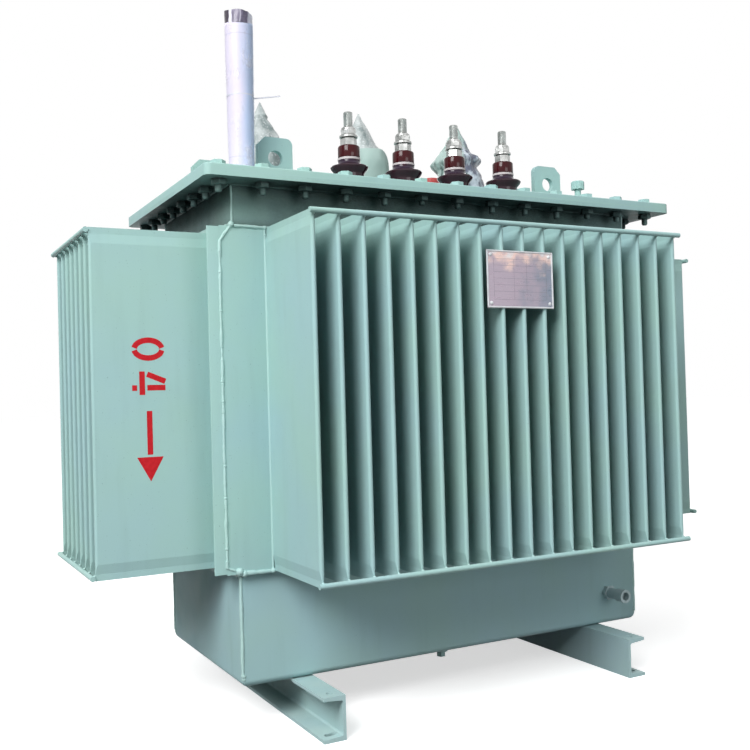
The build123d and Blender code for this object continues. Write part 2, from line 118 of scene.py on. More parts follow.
# Cover bolts
BOLT_COUNT_X = 13
BOLT_COUNT_Y = 8
BOLT_INSET_LEFT = 0.032
BOLT_INSET_RIGHT = 0.043
BOLT_INSET_Y = 0.030
BOLT_FLATS = 0.023
BOLT_HEAD = 0.0100
BOLT_RADIUS = 0.006
BOLT_ENDS = (0.008, 0.014)
BOLT_CHAMFER = 0.0018
BOLT_POINT_SHARE = 0.7
BOLT_SLOPE_SHARE = 0.4
BOLT_SEGMENTS = 16
NUT_HEIGHT = 0.009
WASHER_RADIUS = 0.0125
WASHER_HEIGHT = 0.0015
WASHER_SEGMENTS = 24

# Posts at the corners of the tank, between the long and the short walls
POST_OUT = 0.0215
POST_DEEP = 0.0035
POST_PROUD = 0.0002
POST_LEVELS = (0.2740, 0.8660)
POST_ROUND = 0.0008
POST_ARC = 4
PANEL_BACK = 0.0018
WALL_TRIM = 0.158
TRIM_LAP = 0.001
WELD_DISTANCE = 0.00002

# Weld beads: sizes, then ripples as (fineness, strength) pairs and shares of a bead's radius
BEAD_STEP = 0.0026
BEAD_SIDES = 10
BEAD_ANGLE = math.radians(60)
BEAD_SINK = 0.0012
SEAM_BEAD = 0.0042
SEAM_SINK = 0.0013
FINE_BEAD = 0.0030
TROUGH_BEAD = 0.0030
TROUGH_UNEVEN = 0.6
FRAME_BEAD = 0.0020
ROOT_BEAD = 0.0022
ROOT_UNEVEN = 0.15
TROUGH_BEND = 0.020
CORNER_CUT = 0.026
CORNER_RISE = 0.013
CORNER_LIFT_SHARE = 0.6
WALL_PROUD = -0.001
EDGE_SHARE = 0.62
EDGE_UNEVEN = 1.4
BEAD_SWELLS = ((38.0, 1.0), (130.0, 0.8), (260.0, 0.4))
BEAD_SWELL_SHARE = 0.34
BEAD_LEAST_SHARE = 0.45
BEAD_END_SHARE = 0.8
BEAD_DRIFT_SCALE = 28.0
BEAD_DRIFT_SHARE = 0.30

# Lumps of weld metal: spread of their radii, and their sizes and places as shares of a bead or rod
LUMP_ROWS = 6
LUMP_SHARES = (0.88, 1.12)
SPATTER_SHARES = (0.55, 0.85)
SPATTER_CUT = 7
SPATTER_EDGE = 30
TROUGH_LUMPS = 2
TROUGH_LUMP_SHARE = 1.1
LUMP_STEP_SHARE = 1.3
END_LUMP_SHARE = 1.3
FOOT_LUMP_SHARE = 1.7
INNER_LUMP_SHARE = 1.5
TACK = 0.0026
TACK_IN_SHARE = 0.75
TACK_UP_SHARE = 0.8

# Low-voltage bushings and terminals: (radius, height over the cover)
LV_BODY = (
    (0.0280, 0.0050), (0.0280, 0.0305), (0.0286, 0.0326), (0.0312, 0.0360), (0.0342, 0.0394),
    (0.0360, 0.0424), (0.0365, 0.0446), (0.0352, 0.0464), (0.0318, 0.0474), (0.0280, 0.0486),
    (0.0250, 0.0502), (0.0230, 0.0520), (0.0219, 0.0540), (0.0215, 0.0560), (0.0215, 0.0584),
    (0.0180, 0.0585),
)
LV_BARREL = (
    (0.0170, 0.0624), (0.0202, 0.0626), (0.0211, 0.0636), (0.0213, 0.0650), (0.0213, 0.0825),
    (0.0210, 0.0843), (0.0200, 0.0857), (0.0183, 0.0864), (0.0120, 0.0866),
)
LV_WASHER = ((0.0158, 0.1017), (0.0176, 0.1026), (0.0176, 0.1060), (0.0150, 0.1082))
LV_NUT_CONE = ((0.0146, 0.1150), (0.0146, 0.1176), (0.0137, 0.1186), (0.0137, 0.1204), (0.0110, 0.1230))
COLLAR_FLATS = 0.028
COLLAR_LEVELS = (0.0864, 0.1012)
NECK_RADIUS = 0.0115
TERMINAL_NUT_FLATS = 0.028
TERMINAL_NUT_LEVELS = (0.1050, 0.1180)
TERMINAL_NUT_TURN = math.radians(22)
TERMINAL_CHAMFER = 0.0020
TERMINAL_ANGLE = math.radians(20)
STUD_RADIUS = 0.009
STUD_LEVELS = (0.1215, 0.1530)
STUD_PITCH = 0.0020
STUD_DEPTH = 0.0007
STUD_DOME = ((0.86, 0.10), (0.6, 0.04), (0.2, 0.0))
STUD_DOME_SHARE = 0.25

# Film wraps: (height over the cover, radius), or with two radii, on the left and on the right as seen
WRAP_FACING = math.radians(-28.0)
WRAP_LEFT = (
    (0.001, 0.057), (0.060, 0.058), (0.110, 0.0575), (0.135, 0.0555), (0.150, 0.050), (0.164, 0.0425),
    (0.185, 0.0300), (0.202, 0.0185), (0.207, 0.0162), (0.211, 0.0180), (0.217, 0.0142), (0.232, 0.0062),
    (0.242, 0.0015),
)
WRAP_CUP = (
    (0.001, 0.056), (0.080, 0.0565), (0.117, 0.0562), (0.131, 0.0552), (0.142, 0.0527), (0.150, 0.0498),
    (0.1555, 0.0470), (0.1585, 0.0438), (0.1593, 0.0400), (0.1595, 0.0300),
)
WRAP_CONE = (
    (0.150, 0.043), (0.158, 0.0405), (0.170, 0.036), (0.195, 0.028), (0.227, 0.0105), (0.246, 0.0015),
)
CONE_LEAN = (-0.0097, 0.0052, 0.0)
LEAN_RATE = 2.1
WRAP_RIGHT = (
    (0.001, 0.055, 0.060), (0.060, 0.055, 0.062), (0.098, 0.0535, 0.0635), (0.109, 0.0500, 0.0628),
    (0.118, 0.0485, 0.0600), (0.126, 0.0497, 0.0555), (0.134, 0.0540, 0.0505), (0.141, 0.0585, 0.0479),
    (0.1475, 0.0622, 0.0505), (0.1504, 0.0629, 0.0528), (0.155, 0.0600, 0.0555), (0.159, 0.0575, 0.0566),
    (0.1645, 0.0540, 0.0545), (0.169, 0.0508, 0.0455), (0.1735, 0.0475, 0.0372), (0.200, 0.0303, 0.0236),
    (0.225, 0.0140, 0.0112), (0.247, 0.0012, 0.0012),
)
WRAP_ROW = 0.0025
WRAP_SEGMENTS = 120
FILM_ANGLE = math.radians(50)

# Folds of the film: their fineness and slope, and the radius below which they fade
FOLD_SCALE = 32.0
FOLD_SLOPE = 1.8
FOLD_TALL = 0.6
FOLD_LEVEL = 0.6
FOLD_FADE = 0.03
FILM_LEAST = 0.0012

# Pleats of the film: the share of its height where they start, their depth and their twist
PLEAT_START = 0.55
PLEAT_SHARE = 0.20
PLEAT_TWIST = 1.4
PLEAT_DRIFT = 0.5
PLEAT_DRIFT_SCALE = 20.0

# Paper roll with its sleeve and strap, heights over the cover
ROLL_LEVELS = (0.0105, 0.2875)
ROLL_DIP = 0.0070
ROLL_FRONT = math.radians(-109)
ROLL_PROFILE = (
    (0.010, 0.0230), (0.038, 0.0230), (0.080, 0.0235), (0.160, 0.0248), (0.218, 0.0256), (0.260, 0.0252),
    (0.320, 0.0248),
)
ROLL_LEAN = (-0.0009, 0.0005, 0.0)
ROLL_TURNS = 2.3
ROLL_SHEET = 0.0004
ROLL_START = math.radians(110)
ROLL_ROWS = 60
ROLL_SEGMENTS = 64
ROLL_WAVE = 0.0004
ROLL_WAVE_RATES = (2.0, 30.0)
ROLL_RUCK = 0.0003
ROLL_RUCK_SCALE = 25.0
PAPER_THICK = 0.00025
SEAM_LINES = (0.040, 0.261)
SLEEVE_GAP = 0.0004
SLEEVE_LEVELS = (0.0160, 0.2800)
SLEEVE_FOLD = 0.0004
SLEEVE_FOLD_SCALE = 60.0
SLEEVE_FOLD_TALL = 0.7
COLLAR_TOP = 0.3030
COLLAR_ROWS = 12
COLLAR_LAP = 0.0010
COLLAR_RIM = 0.0030
COLLAR_RIM_SCALE = 1.3
COLLAR_TILT = 0.0025
COLLAR_SQUARE = 0.0012
COLLAR_TURN = 0.6
COLLAR_PULL = 0.0004
COLLAR_FOLD = 0.0016
COLLAR_FOLD_RADIUS = 0.025
COLLAR_FOLD_SCALE = 70.0
COLLAR_FOLD_TALL = 0.5
COLLAR_DEEP = 0.006
COLLAR_TUCK_SHARE = 0.55
TIE_LEVELS = (0.1508, 0.1532)
TIE_THICK = 0.0002
TIE_SEGMENTS = 72
TAIL_THICK = 0.0005
TIE_TALL = 0.0011
TIE_TAIL = (
    (0.0235, -0.0010, 0.1520), (0.0400, -0.0016, 0.1553), (0.0580, -0.0014, 0.1591),
    (0.0758, -0.0010, 0.1628),
)

# Rating plate
PLATE_SHEET = 0.0012
PLATE_RIM = 0.0017
PLATE_RIVET = 0.0034
PLATE_RIVET_INSET = 0.0085
RIVET_DOME = ((1.0, 0.0), (0.95, 0.25), (0.75, 0.45), (0.4, 0.60), (0.05, 0.65))
RIVET_SIDES = 16
PLATE_MARGIN = 0.0150
PLATE_RULE = 0.0004
RULE_PROUD_SHARE = 0.2
PLATE_ROWS_SHARES = (0.0, 0.20, 0.36, 0.52, 0.68, 0.84, 1.0)
PLATE_COLUMNS_SHARES = (0.0, 0.38, 0.62, 1.0)

# Stencil on the left wall's first fin: two digits and an arrow that read downwards
STENCIL_X = (-0.608, -0.551)
STENCIL_TOP = 0.680
STENCIL_STROKE = 0.0095
STENCIL_WIDTH = 0.040
STENCIL_STEP = 0.058
STENCIL_ARROW = 0.120
STENCIL_BRIDGE = 0.0040
STENCIL_LIFT = 0.00015
STENCIL_DEPTH = 0.00012
STENCIL_ARC = 14
STENCIL_BAR_SHARE = 0.30
STENCIL_STEM_SHARE = 0.70
STENCIL_SLANT_SHARE = 1.1
STENCIL_NECK_SHARE = 0.62
STENCIL_HEAD_SHARES = (0.10, 0.50, 0.90)

HEX_SIDES = 6
SMOOTH_ANGLE = math.radians(35)
FOLD_ANGLE = math.radians(7)


class Shape:
    """Points and faces of one piece, gathered from simple forms."""

    def __init__(self):
        self.points = []
        self.faces = []

    def grid(self, rows, closed=True, caps=True):
        """Joins rows of equally many points by quads. Closed rows form a skin, and caps close its ends."""
        start = len(self.points)
        count = len(rows[0])
        for row in rows:
            self.points.extend(row)
        around = count if closed else count - 1
        for r in range(len(rows) - 1):
            for c in range(around):
                a = start + r * count + c
                b = start + r * count + (c + 1) % count
                self.faces.append((a, b, b + count, a + count))
        if closed and caps:
            last = start + (len(rows) - 1) * count
            self.faces.append(tuple(range(start + count - 1, start - 1, -1)))
            self.faces.append(tuple(range(last, last + count)))

    def prism(self, outline, offset):
        """A flat outline and its copy moved by offset, joined into a slab."""
        self.grid([outline, [point + offset for point in outline]])


def polar(radius, angle, height):
    return Vector((radius * math.cos(angle), radius * math.sin(angle), height))


def ring(centre, radius, height, segments, turn=0.0):
    """Points of a level circle, or of a polygon with few segments."""
    return [centre + polar(radius, turn + math.tau * n / segments, height) for n in range(segments)]


def spread(low, high, count):
    """Values from low to high in a number of even steps."""
    return [low + (high - low) * n / count for n in range(count + 1)]


def rounds(levels, segments, point):
    """Rows of points round an axis, where point gives the place for a level and an angle."""
    angles = [math.tau * s / segments for s in range(segments)]
    return [[point(level, angle) for angle in angles] for level in levels]


def turned(shape, foot, profile, segments=64, turn=0.0):
    """Turns (radius, height) pairs about the vertical axis through foot."""
    shape.grid([ring(foot, radius, height, segments, turn) for radius, height in profile])


def hexagon(shape, foot, flats, low, high, chamfer, turn=0.0):
    """A hexagonal nut or head with both rims chamfered."""
    corner = flats / math.sqrt(3)
    inner = corner - chamfer
    profile = [(inner, low), (corner, low + chamfer / 2), (corner, high - chamfer / 2), (inner, high)]
    turned(shape, foot, profile, HEX_SIDES, turn)


def tube(shape, path, radii, sides=BEAD_SIDES):
    """A round skin that follows a path without twisting, with a radius at each of its points."""
    rows = []
    across = None
    for n, point in enumerate(path):
        ahead = (path[min(n + 1, len(path) - 1)] - path[max(n - 1, 0)]).normalized()
        across = across or ahead.orthogonal()
        across = (across - ahead * across.dot(ahead)).normalized()
        up = ahead.cross(across)
        row = []
        for s in range(sides):
            spot = polar(radii[n], math.tau * s / sides, 0.0)
            row.append(point + across * spot.x + up * spot.y)
        rows.append(row)
    shape.grid(rows)


def thread(shape, foot, radius, levels, pitch, depth, segments=28, steps=5):
    """A screw thread with a domed end."""
    def point(height, angle):
        phase = (height / pitch - angle / math.tau) % 1.0
        return foot + polar(radius - depth * abs(2.0 * phase - 1.0), angle, height)

    low, high = levels
    length = high - low - radius * STUD_DOME_SHARE
    rows = rounds(spread(low, low + length, round(length / pitch * steps)), segments, point)
    for share, drop in STUD_DOME:
        rows.append(ring(foot, radius * share, high - radius * drop, segments))
    shape.grid(rows)


def lump(shape, centre, radius):
    """A small uneven blob of weld metal."""
    def point(tilt, angle):
        reach = radius * random.uniform(*LUMP_SHARES)
        return centre + polar(reach * math.sin(tilt), angle, -reach * math.cos(tilt))

    shape.grid(rounds(spread(0.0, math.pi, LUMP_ROWS)[1:-1], BEAD_SIDES, point))


def bead(shape, points, radius, uneven=1.0):
    """A hand-laid weld along a run of points, with soft ripples and an uneven width."""
    path = []
    radii = []
    for start, end in zip(points, points[1:]):
        start = Vector(start)
        end = Vector(end)
        count = max(2, round((end - start).length / BEAD_STEP))
        for n in range(count):
            spot = start.lerp(end, n / count)
            swell = 0.0
            for scale, strength in BEAD_SWELLS:
                swell += strength * noise.noise(spot * scale)
            drift = noise.noise_vector(spot * BEAD_DRIFT_SCALE) * radius * BEAD_DRIFT_SHARE * uneven
            path.append(spot + drift)
            radii.append(radius * max(BEAD_LEAST_SHARE, 1.0 + BEAD_SWELL_SHARE * uneven * swell))
    path.append(Vector(points[-1]))
    radii.append(radius * BEAD_END_SHARE)
    tube(shape, path, radii)


def spatter(shape, start, end, radius, count):
    """Uneven blobs strewn along a weld."""
    for _ in range(count):
        spot = Vector(start).lerp(Vector(end), random.random())
        lump(shape, spot, radius * random.uniform(*SPATTER_SHARES))


def ring_bead(shape, centre, ring_radius, radius, segments=28):
    """A weld round the foot of a boss."""
    bead(shape, [*ring(centre, ring_radius, 0.0, segments), centre + polar(ring_radius, 0.0, 0.0)], radius)


def make(name, shape, material, smooth=SMOOTH_ANGLE):
    """Turns a gathered shape into a piece of the object."""
    mesh = bpy.data.meshes.new(name)
    mesh.from_pydata([tuple(p) for p in shape.points], [], shape.faces)
    work = bmesh.new()
    work.from_mesh(mesh)
    bmesh.ops.recalc_face_normals(work, faces=work.faces)
    work.to_mesh(mesh)
    work.free()
    return settle(name, mesh, material, smooth)


def settle(name, mesh, material, smooth=SMOOTH_ANGLE):
    """Shades a mesh, gives it a finish and makes it a piece that rides on the tank."""
    mesh.shade_smooth()
    mesh.set_sharp_from_angle(angle=smooth)
    mesh.materials.append(material)
    piece = bpy.data.objects.new(name, mesh)
    bpy.context.scene.collection.objects.link(piece)
    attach(piece, "root")
    return piece


def middle(node):
    """Centre of a node in plan, at the level of the cover's upper face."""
    low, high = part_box(node)
    return Vector(((low.x + high.x) / 2, (low.y + high.y) / 2, cover_top))


class Tree:
    """Short calls that build a node tree."""

    def __init__(self, tree):
        self.tree = tree

    def add(self, kind, inputs=None, **settings):
        """A node with its settings, and a number or a link for each input that is given."""
        node = self.tree.nodes.new(kind)
        for key, value in settings.items():
            setattr(node, key, value)
        for key, value in (inputs or {}).items():
            self.put(node.inputs[key], value)
        return node

    def put(self, socket, value):
        if isinstance(value, bpy.types.NodeSocket):
            self.tree.links.new(value, socket)
        else:
            socket.default_value = value

    def between(self, value, low, high, start=0.0, end=1.0):
        """A level that runs from start to end as a value runs from low to high."""
        inputs = {"Value": value, "From Min": low, "From Max": high, "To Min": start, "To Max": end}
        return self.add("ShaderNodeMapRange", inputs).outputs[0]

    def blend(self, share, first, second):
        """A mix of two colours, each a triple or a socket."""
        first, second = [(*c, 1.0) if isinstance(c, tuple) else c for c in (first, second)]
        return self.add("ShaderNodeMix", {0: share, 6: first, 7: second}, data_type="RGBA").outputs[2]

    def math(self, operation, first, second=0.0):
        return self.add("ShaderNodeMath", {0: first, 1: second}, operation=operation).outputs[0]

    def seen_directly(self):
        """1 for camera, glossy and transmission rays, so that they meet the white background."""
        path = self.add("ShaderNodeLightPath").outputs
        mirrored = self.math("MAXIMUM", path["Is Camera Ray"], path["Is Glossy Ray"])
        return self.math("MAXIMUM", mirrored, path["Is Transmission Ray"])


class Finish(Tree):
    """One material, built round its shader."""

    def __init__(self, name):
        self.material = bpy.data.materials.new(name)
        self.material.use_nodes = True
        super().__init__(self.material.node_tree)
        self.shader = self.tree.nodes["Principled BSDF"]
        self.place = self.add("ShaderNodeTexCoord").outputs["Object"]

    def set(self, **sockets):
        """Sets sockets of the shader, with spaces written as underscores."""
        for key, value in sockets.items():
            self.put(self.shader.inputs[key.replace("_", " ")], value)

    def noise(self, scale, detail=3.0, tall=None):
        """Noise, drawn out upwards where tall is under 1 and level where it is over."""
        where = self.place
        if tall:
            where = self.add("ShaderNodeMapping", {"Vector": where, "Scale": (1.0, 1.0, tall)}).outputs[0]
        inputs = {"Vector": where, "Scale": scale, "Detail": detail}
        return self.add("ShaderNodeTexNoise", inputs).outputs[0]

    def vary(self, scale, low, high, detail=3.0, tall=None):
        """A level that wanders between two ends."""
        return self.between(self.noise(scale, detail, tall), *NOISE_RANGE, low, high)

    def along(self, direction):
        """Distance along a direction from the origin."""
        inputs = {0: self.place, 1: direction}
        return self.add("ShaderNodeVectorMath", inputs, operation="DOT_PRODUCT").outputs["Value"]

    def height(self):
        return self.along((0.0, 0.0, 1.0))

    def rise(self, low, high, height=None):
        """Share of the way between two heights over the cover."""
        if height is None:
            height = self.height()
        return self.between(height, cover_top + low, cover_top + high)

    def sideways(self, centre, wander):
        """Distance to the right of a centre as the wraps face, with a wandering added."""
        across = polar(1.0, WRAP_FACING, 0.0)
        reach = self.math("SUBTRACT", self.along(across), across.dot(centre))
        return self.math("ADD", reach, wander)

    def off(self, value, place):
        """How far a value is from a place, to either side."""
        return self.math("ABSOLUTE", self.math("SUBTRACT", value, place))

    def facing_up(self):
        normal = self.add("ShaderNodeNewGeometry").outputs["Normal"]
        return self.add("ShaderNodeSeparateXYZ", {"Vector": normal}).outputs["Z"]

    def shade_where_sheltered(self, shelter):
        """Painted shade where neighbours hide the sky, from none in the open to the most in a corner."""
        reach, closed, wide, most = shelter
        sky = self.add("ShaderNodeAmbientOcclusion", {"Distance": reach}, samples=8).outputs["AO"]
        return self.between(sky, closed, wide, most, 0.0)

    def bump(self, height, distance, strength=1.0, normal=None):
        inputs = {"Height": height, "Distance": distance, "Strength": strength}
        if normal:
            inputs["Normal"] = normal
        return self.add("ShaderNodeBump", inputs).outputs[0]


def paint_finish(name, tints=PAINT_TINTS, shelter=OPEN_SHELTER, shine=0.10):
    """Sprayed grey-green paint over sheet steel: patches, runs, specks, dust on top, painted shade where
    neighbours hide the sky, orange peel.
    """
    f = Finish(name)
    tint = f.blend(f.between(f.noise(5.0), 0.36, 0.64), *tints)
    runs = f.noise(38.0, 4.0, 0.12)
    tint = f.blend(f.between(runs, 0.54, 0.85, 0.0, 0.20), tint, PAINT_RUNS)
    specks = f.noise(420.0, 2.0)
    tint = f.blend(f.between(specks, 0.72, 0.76, 0.0, 0.5), tint, PAINT_SPECKS)
    patches = f.between(f.noise(22.0, 5.0), 0.35, 0.75)
    settled = f.math("MULTIPLY", f.between(f.facing_up(), 0.5, 0.95), patches)
    tint = f.blend(f.math("MULTIPLY", settled, 0.45), tint, PAINT_DUST)
    # Painted shade: the colour turns near-black where neighbours hide the sky
    tint = f.blend(f.shade_where_sheltered(shelter), tint, PAINTED_SHADE)
    waves = f.bump(f.noise(14.0, 1.0), 0.0020, 0.35)
    peel = f.bump(f.noise(650.0, 2.0), 0.0005, 0.25, waves)
    f.set(Base_Color=tint, Roughness=f.vary(30.0, 0.36, 0.54, 5.0), Normal=peel, Specular_IOR_Level=shine)
    return f.material


def rubber_finish():
    """Dark seals, and the pale rings in the waists of the small bushings, told apart by height."""
    f = Finish("gasket_rubber")
    seal = f.blend(f.noise(60.0), (0.010, 0.012, 0.012), (0.030, 0.033, 0.031))
    pale = f.blend(f.noise(90.0), (0.48, 0.44, 0.45), (0.60, 0.56, 0.56))
    f.set(Base_Color=f.blend(f.rise(0.030, 0.034), seal, pale), Roughness=f.vary(45.0, 0.4, 0.6))
    f.set(Normal=f.bump(f.noise(500.0), 0.0004, 0.3), Specular_IOR_Level=0.2)
    return f.material


def plated_finish():
    """Tin-plated steel, dull grey silver with faint stains and turning marks."""
    f = Finish("plated_steel")
    stain = f.between(f.noise(70.0, 4.0), 0.36, 0.66)
    f.set(Base_Color=f.blend(stain, (0.51, 0.52, 0.51), (0.31, 0.32, 0.31)), Metallic=1.0)
    f.set(Roughness=f.vary(90.0, 0.30, 0.44), Normal=f.bump(f.noise(60.0, 2.0, 10.0), 0.0002, 0.15))
    return f.material


def porcelain_finish():
    """Thick glossy glaze, red-brown with darker pools on the lower, flared part and a dim waist."""
    f = Finish("brown_porcelain")
    height = f.math("ADD", f.height(), f.vary(60.0, -0.004, 0.004))
    body = f.blend(f.noise(24.0), (0.060, 0.004, 0.006), (0.034, 0.003, 0.005))
    pool = f.blend(f.noise(24.0), (0.026, 0.014, 0.021), (0.036, 0.013, 0.019))
    pool = f.blend(f.rise(0.046, 0.051, height), pool, (0.030, 0.017, 0.033))
    f.set(Base_Color=f.blend(f.rise(0.057, 0.063, height), pool, body))
    f.set(Roughness=f.vary(60.0, 0.05, 0.12), Specular_IOR_Level=0.26)
    f.set(Normal=f.bump(f.noise(30.0), 0.0006, 0.2))
    return f.material


def film_finish(name, light, shade):
    """Creased packing film: painted light and shade of creases in streaks, and pale flecks, over a grey
    ground.
    """
    f = Finish(name)
    # Painted light and shade of the creases: streaks between the light and the shade tones
    streak = f.between(f.noise(42.0, 6.0, 0.45), 0.36, 0.64)
    fleck = f.between(f.noise(260.0), 0.58, 0.66, 0.0, 0.7)
    f.set(Base_Color=f.blend(fleck, f.blend(streak, shade, light), (0.70, 0.74, 0.75)))
    f.set(Roughness=f.vary(60.0, 0.22, 0.45), Specular_IOR_Level=0.35)
    f.set(Normal=f.bump(f.noise(75.0, 6.0, 0.5), 0.0030, 0.7))
    return f.material


def cup_finish():
    """Smooth, matt, pale green cup under the middle film."""
    f = Finish("wrap_film_cup")
    cloud = f.between(f.noise(14.0), 0.35, 0.65)
    f.set(Base_Color=f.blend(cloud, (0.30, 0.42, 0.39), (0.35, 0.47, 0.44)), Specular_IOR_Level=0.2)
    f.set(Roughness=f.vary(40.0, 0.45, 0.60), Normal=f.bump(f.noise(30.0), 0.0010, 0.3))
    return f.material


def clinging_film_finish(centre):
    """Film that is pale and slack on one side, and clings to dark glaze with white creases on the other."""
    f = Finish("wrap_film_right")
    edge = f.sideways(centre, f.vary(30.0, -0.016, 0.016, 4.0))
    pale = f.blend(f.noise(20.0, 4.0), (0.30, 0.42, 0.39), (0.42, 0.54, 0.51))
    stripe = f.between(f.noise(60.0, 5.0, 0.35), 0.48, 0.56)
    low_stripe = f.math("MULTIPLY", stripe, f.rise(0.158, 0.140))
    pale = f.blend(low_stripe, pale, (0.070, 0.125, 0.115))
    crease = f.between(f.noise(55.0, 7.0, 0.55), 0.47, 0.59)
    dark = f.blend(crease, (0.110, 0.125, 0.175), (0.50, 0.57, 0.64))
    f.set(Base_Color=f.blend(f.between(edge, 0.004, 0.018), pale, dark), Specular_IOR_Level=0.40)
    f.set(Roughness=f.vary(60.0, 0.14, 0.38), Normal=f.bump(f.noise(75.0, 6.0, 0.5), 0.0030, 0.7))
    return f.material


def paper_finish():
    """White sheet in a lavender tone, turning darker and blue towards one side as painted reflection and
    painted shade, with two faint lines across it.
    """
    f = Finish("paper")
    lavender = (0.70, 0.66, 0.80)
    bluish = (0.47, 0.58, 0.80)
    reach = f.sideways(middle("document_roll"), f.vary(24.0, -0.008, 0.008, tall=0.4))
    # Painted reflection and painted shade: the sheet turns darker and blue towards one side
    tint = f.blend(f.between(reach, -0.004, 0.018), lavender, bluish)
    for level in SEAM_LINES:
        line = f.between(f.off(f.height(), cover_top + level), 0.0004, 0.0012, 0.45, 0.0)
        tint = f.blend(line, tint, (0.40, 0.40, 0.55))
    f.set(Base_Color=tint, Roughness=f.vary(30.0, 0.34, 0.50), Specular_IOR_Level=0.25)
    f.set(Normal=f.bump(f.noise(40.0, 5.0, 0.3), 0.0012, 0.4))
    return f.material


def sleeve_finish():
    """Thin clear film, milky where it is creased."""
    f = Finish("sleeve_film")
    crease = f.between(f.noise(55.0, 6.0, 0.4), 0.54, 0.74)
    f.set(Base_Color=f.blend(crease, (0.80, 0.80, 0.90), (0.90, 0.90, 0.95)), Specular_IOR_Level=0.3)
    f.set(Roughness=f.between(crease, 0.0, 1.0, 0.14, 0.34), Alpha=f.between(crease, 0.0, 1.0, 0.06, 0.50))
    f.set(Normal=f.bump(f.noise(60.0, 5.0, 0.5), 0.0020, 0.5))
    return f.material


def collar_finish():
    """Loose end of the sleeve: painted shade and a painted highlight on a fold at one side, then a dim
    panel with a painted highlight along a crease and at its far edge.
    """
    f = Finish("sleeve_collar")
    dark = (0.045, 0.036, 0.055)
    white = (0.70, 0.70, 0.78)
    reach = f.sideways(middle("document_roll"), f.vary(40.0, -0.0025, 0.0025, tall=0.5))
    fold = f.between(f.noise(48.0, 4.0, 0.55), 0.42, 0.62)
    panel = f.blend(fold, (0.10, 0.09, 0.14), (0.23, 0.21, 0.29))
    # Painted shade and painted highlight of a fold: a dark strip, then a white strip
    tint = f.blend(f.between(reach, -0.0165, -0.0150), dark, white)
    tint = f.blend(f.between(reach, -0.0110, -0.0095), tint, panel)
    # Painted highlight along a crease
    crease = f.between(f.off(reach, 0.0040), 0.0004, 0.0016, 0.6, 0.0)
    tint = f.blend(crease, tint, (0.62, 0.62, 0.72))
    # Painted highlight at the far edge
    tint = f.blend(f.between(reach, 0.0170, 0.0195), tint, (0.60, 0.62, 0.74))
    f.set(Base_Color=tint, Roughness=f.vary(60.0, 0.15, 0.35), Specular_IOR_Level=0.35)
    f.set(Normal=f.bump(f.noise(60.0, 4.0, 0.5), 0.0025, 0.6))
    return f.material


def plate_finish(low, high):
    """Brushed stainless sheet with painted reflections: a warm tint near its top, palest at its very top,
    lilac below, cooler at its lower right.
    """
    f = Finish("plate_steel")
    lilac = (0.38, 0.32, 0.38)
    cool = (0.20, 0.24, 0.30)
    warm = (0.74, 0.54, 0.48)
    brush = f.noise(35.0, 4.0, 26.0)
    blotch = f.vary(34.0, -0.24, 0.24, 5.0)
    rise = f.math("ADD", f.between(f.height(), low.z, high.z), blotch)
    aside = f.math("ADD", f.between(f.along((1.0, 0.0, 0.0)), low.x, high.x), blotch)
    # Painted reflection: lilac, cooler towards the lower right
    tint = f.blend(f.between(aside, 0.45, 1.0), lilac, cool)
    clouds = f.between(f.noise(60.0, 5.0), 0.38, 0.60, 0.15, 0.95)
    # Painted reflection: warm near the top
    tint = f.blend(f.math("MULTIPLY", f.between(rise, 0.66, 0.94), clouds), tint, warm)
    # Painted reflection: palest at the very top
    tint = f.blend(f.between(rise, 0.98, 1.15), tint, (0.66, 0.66, 0.68))
    tint = f.blend(f.between(brush, 0.35, 0.65, 0.0, 0.28), tint, (0.24, 0.24, 0.28))
    f.set(Base_Color=tint, Metallic=0.9, Roughness=f.between(brush, *NOISE_RANGE, 0.26, 0.40))
    f.set(Normal=f.bump(brush, 0.0002, 0.4))
    return f.material


def speckled_finish(name, first, second, roughness, scale=40.0, specular=0.4):
    """A moulded or painted surface with slight mottling."""
    f = Finish(name)
    f.set(Base_Color=f.blend(f.vary(scale, 0.0, 1.0, 4.0), first, second), Specular_IOR_Level=specular)
    f.set(Roughness=f.vary(scale, roughness - 0.07, roughness + 0.07))
    f.set(Normal=f.bump(f.noise(scale * 9.0), 0.0004, 0.25))
    return f.material


def dress(material, *names, angle=SMOOTH_ANGLE):
    """Gives CAD nodes a finish and smooth shading that keeps edges over the given angle sharp."""
    for name in names:
        node = nodes[name]
        mesh = node.data
        mesh.materials.clear()
        mesh.materials.append(material)
        if "custom_normal" in mesh.attributes:
            mesh.attributes.remove(mesh.attributes["custom_normal"])
        mesh.shade_smooth()
        weld = node.modifiers.new("weld", "WELD")
        weld.merge_threshold = WELD_DISTANCE
        split = node.modifiers.new("edges", "EDGE_SPLIT")
        split.split_angle = angle
        split.use_edge_sharp = False


def bolt_places():
    """Centres of the cover bolts: a row along each edge, corners shared."""
    low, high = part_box("cover_plate")
    left, right = low.x + BOLT_INSET_LEFT, high.x - BOLT_INSET_RIGHT
    near, far = low.y + BOLT_INSET_Y, high.y - BOLT_INSET_Y
    places = []
    for x in spread(left, right, BOLT_COUNT_X - 1):
        places += [(x, near), (x, far)]
    for y in spread(near, far, BOLT_COUNT_Y - 1)[1:-1]:
        places += [(left, y), (right, y)]
    return places


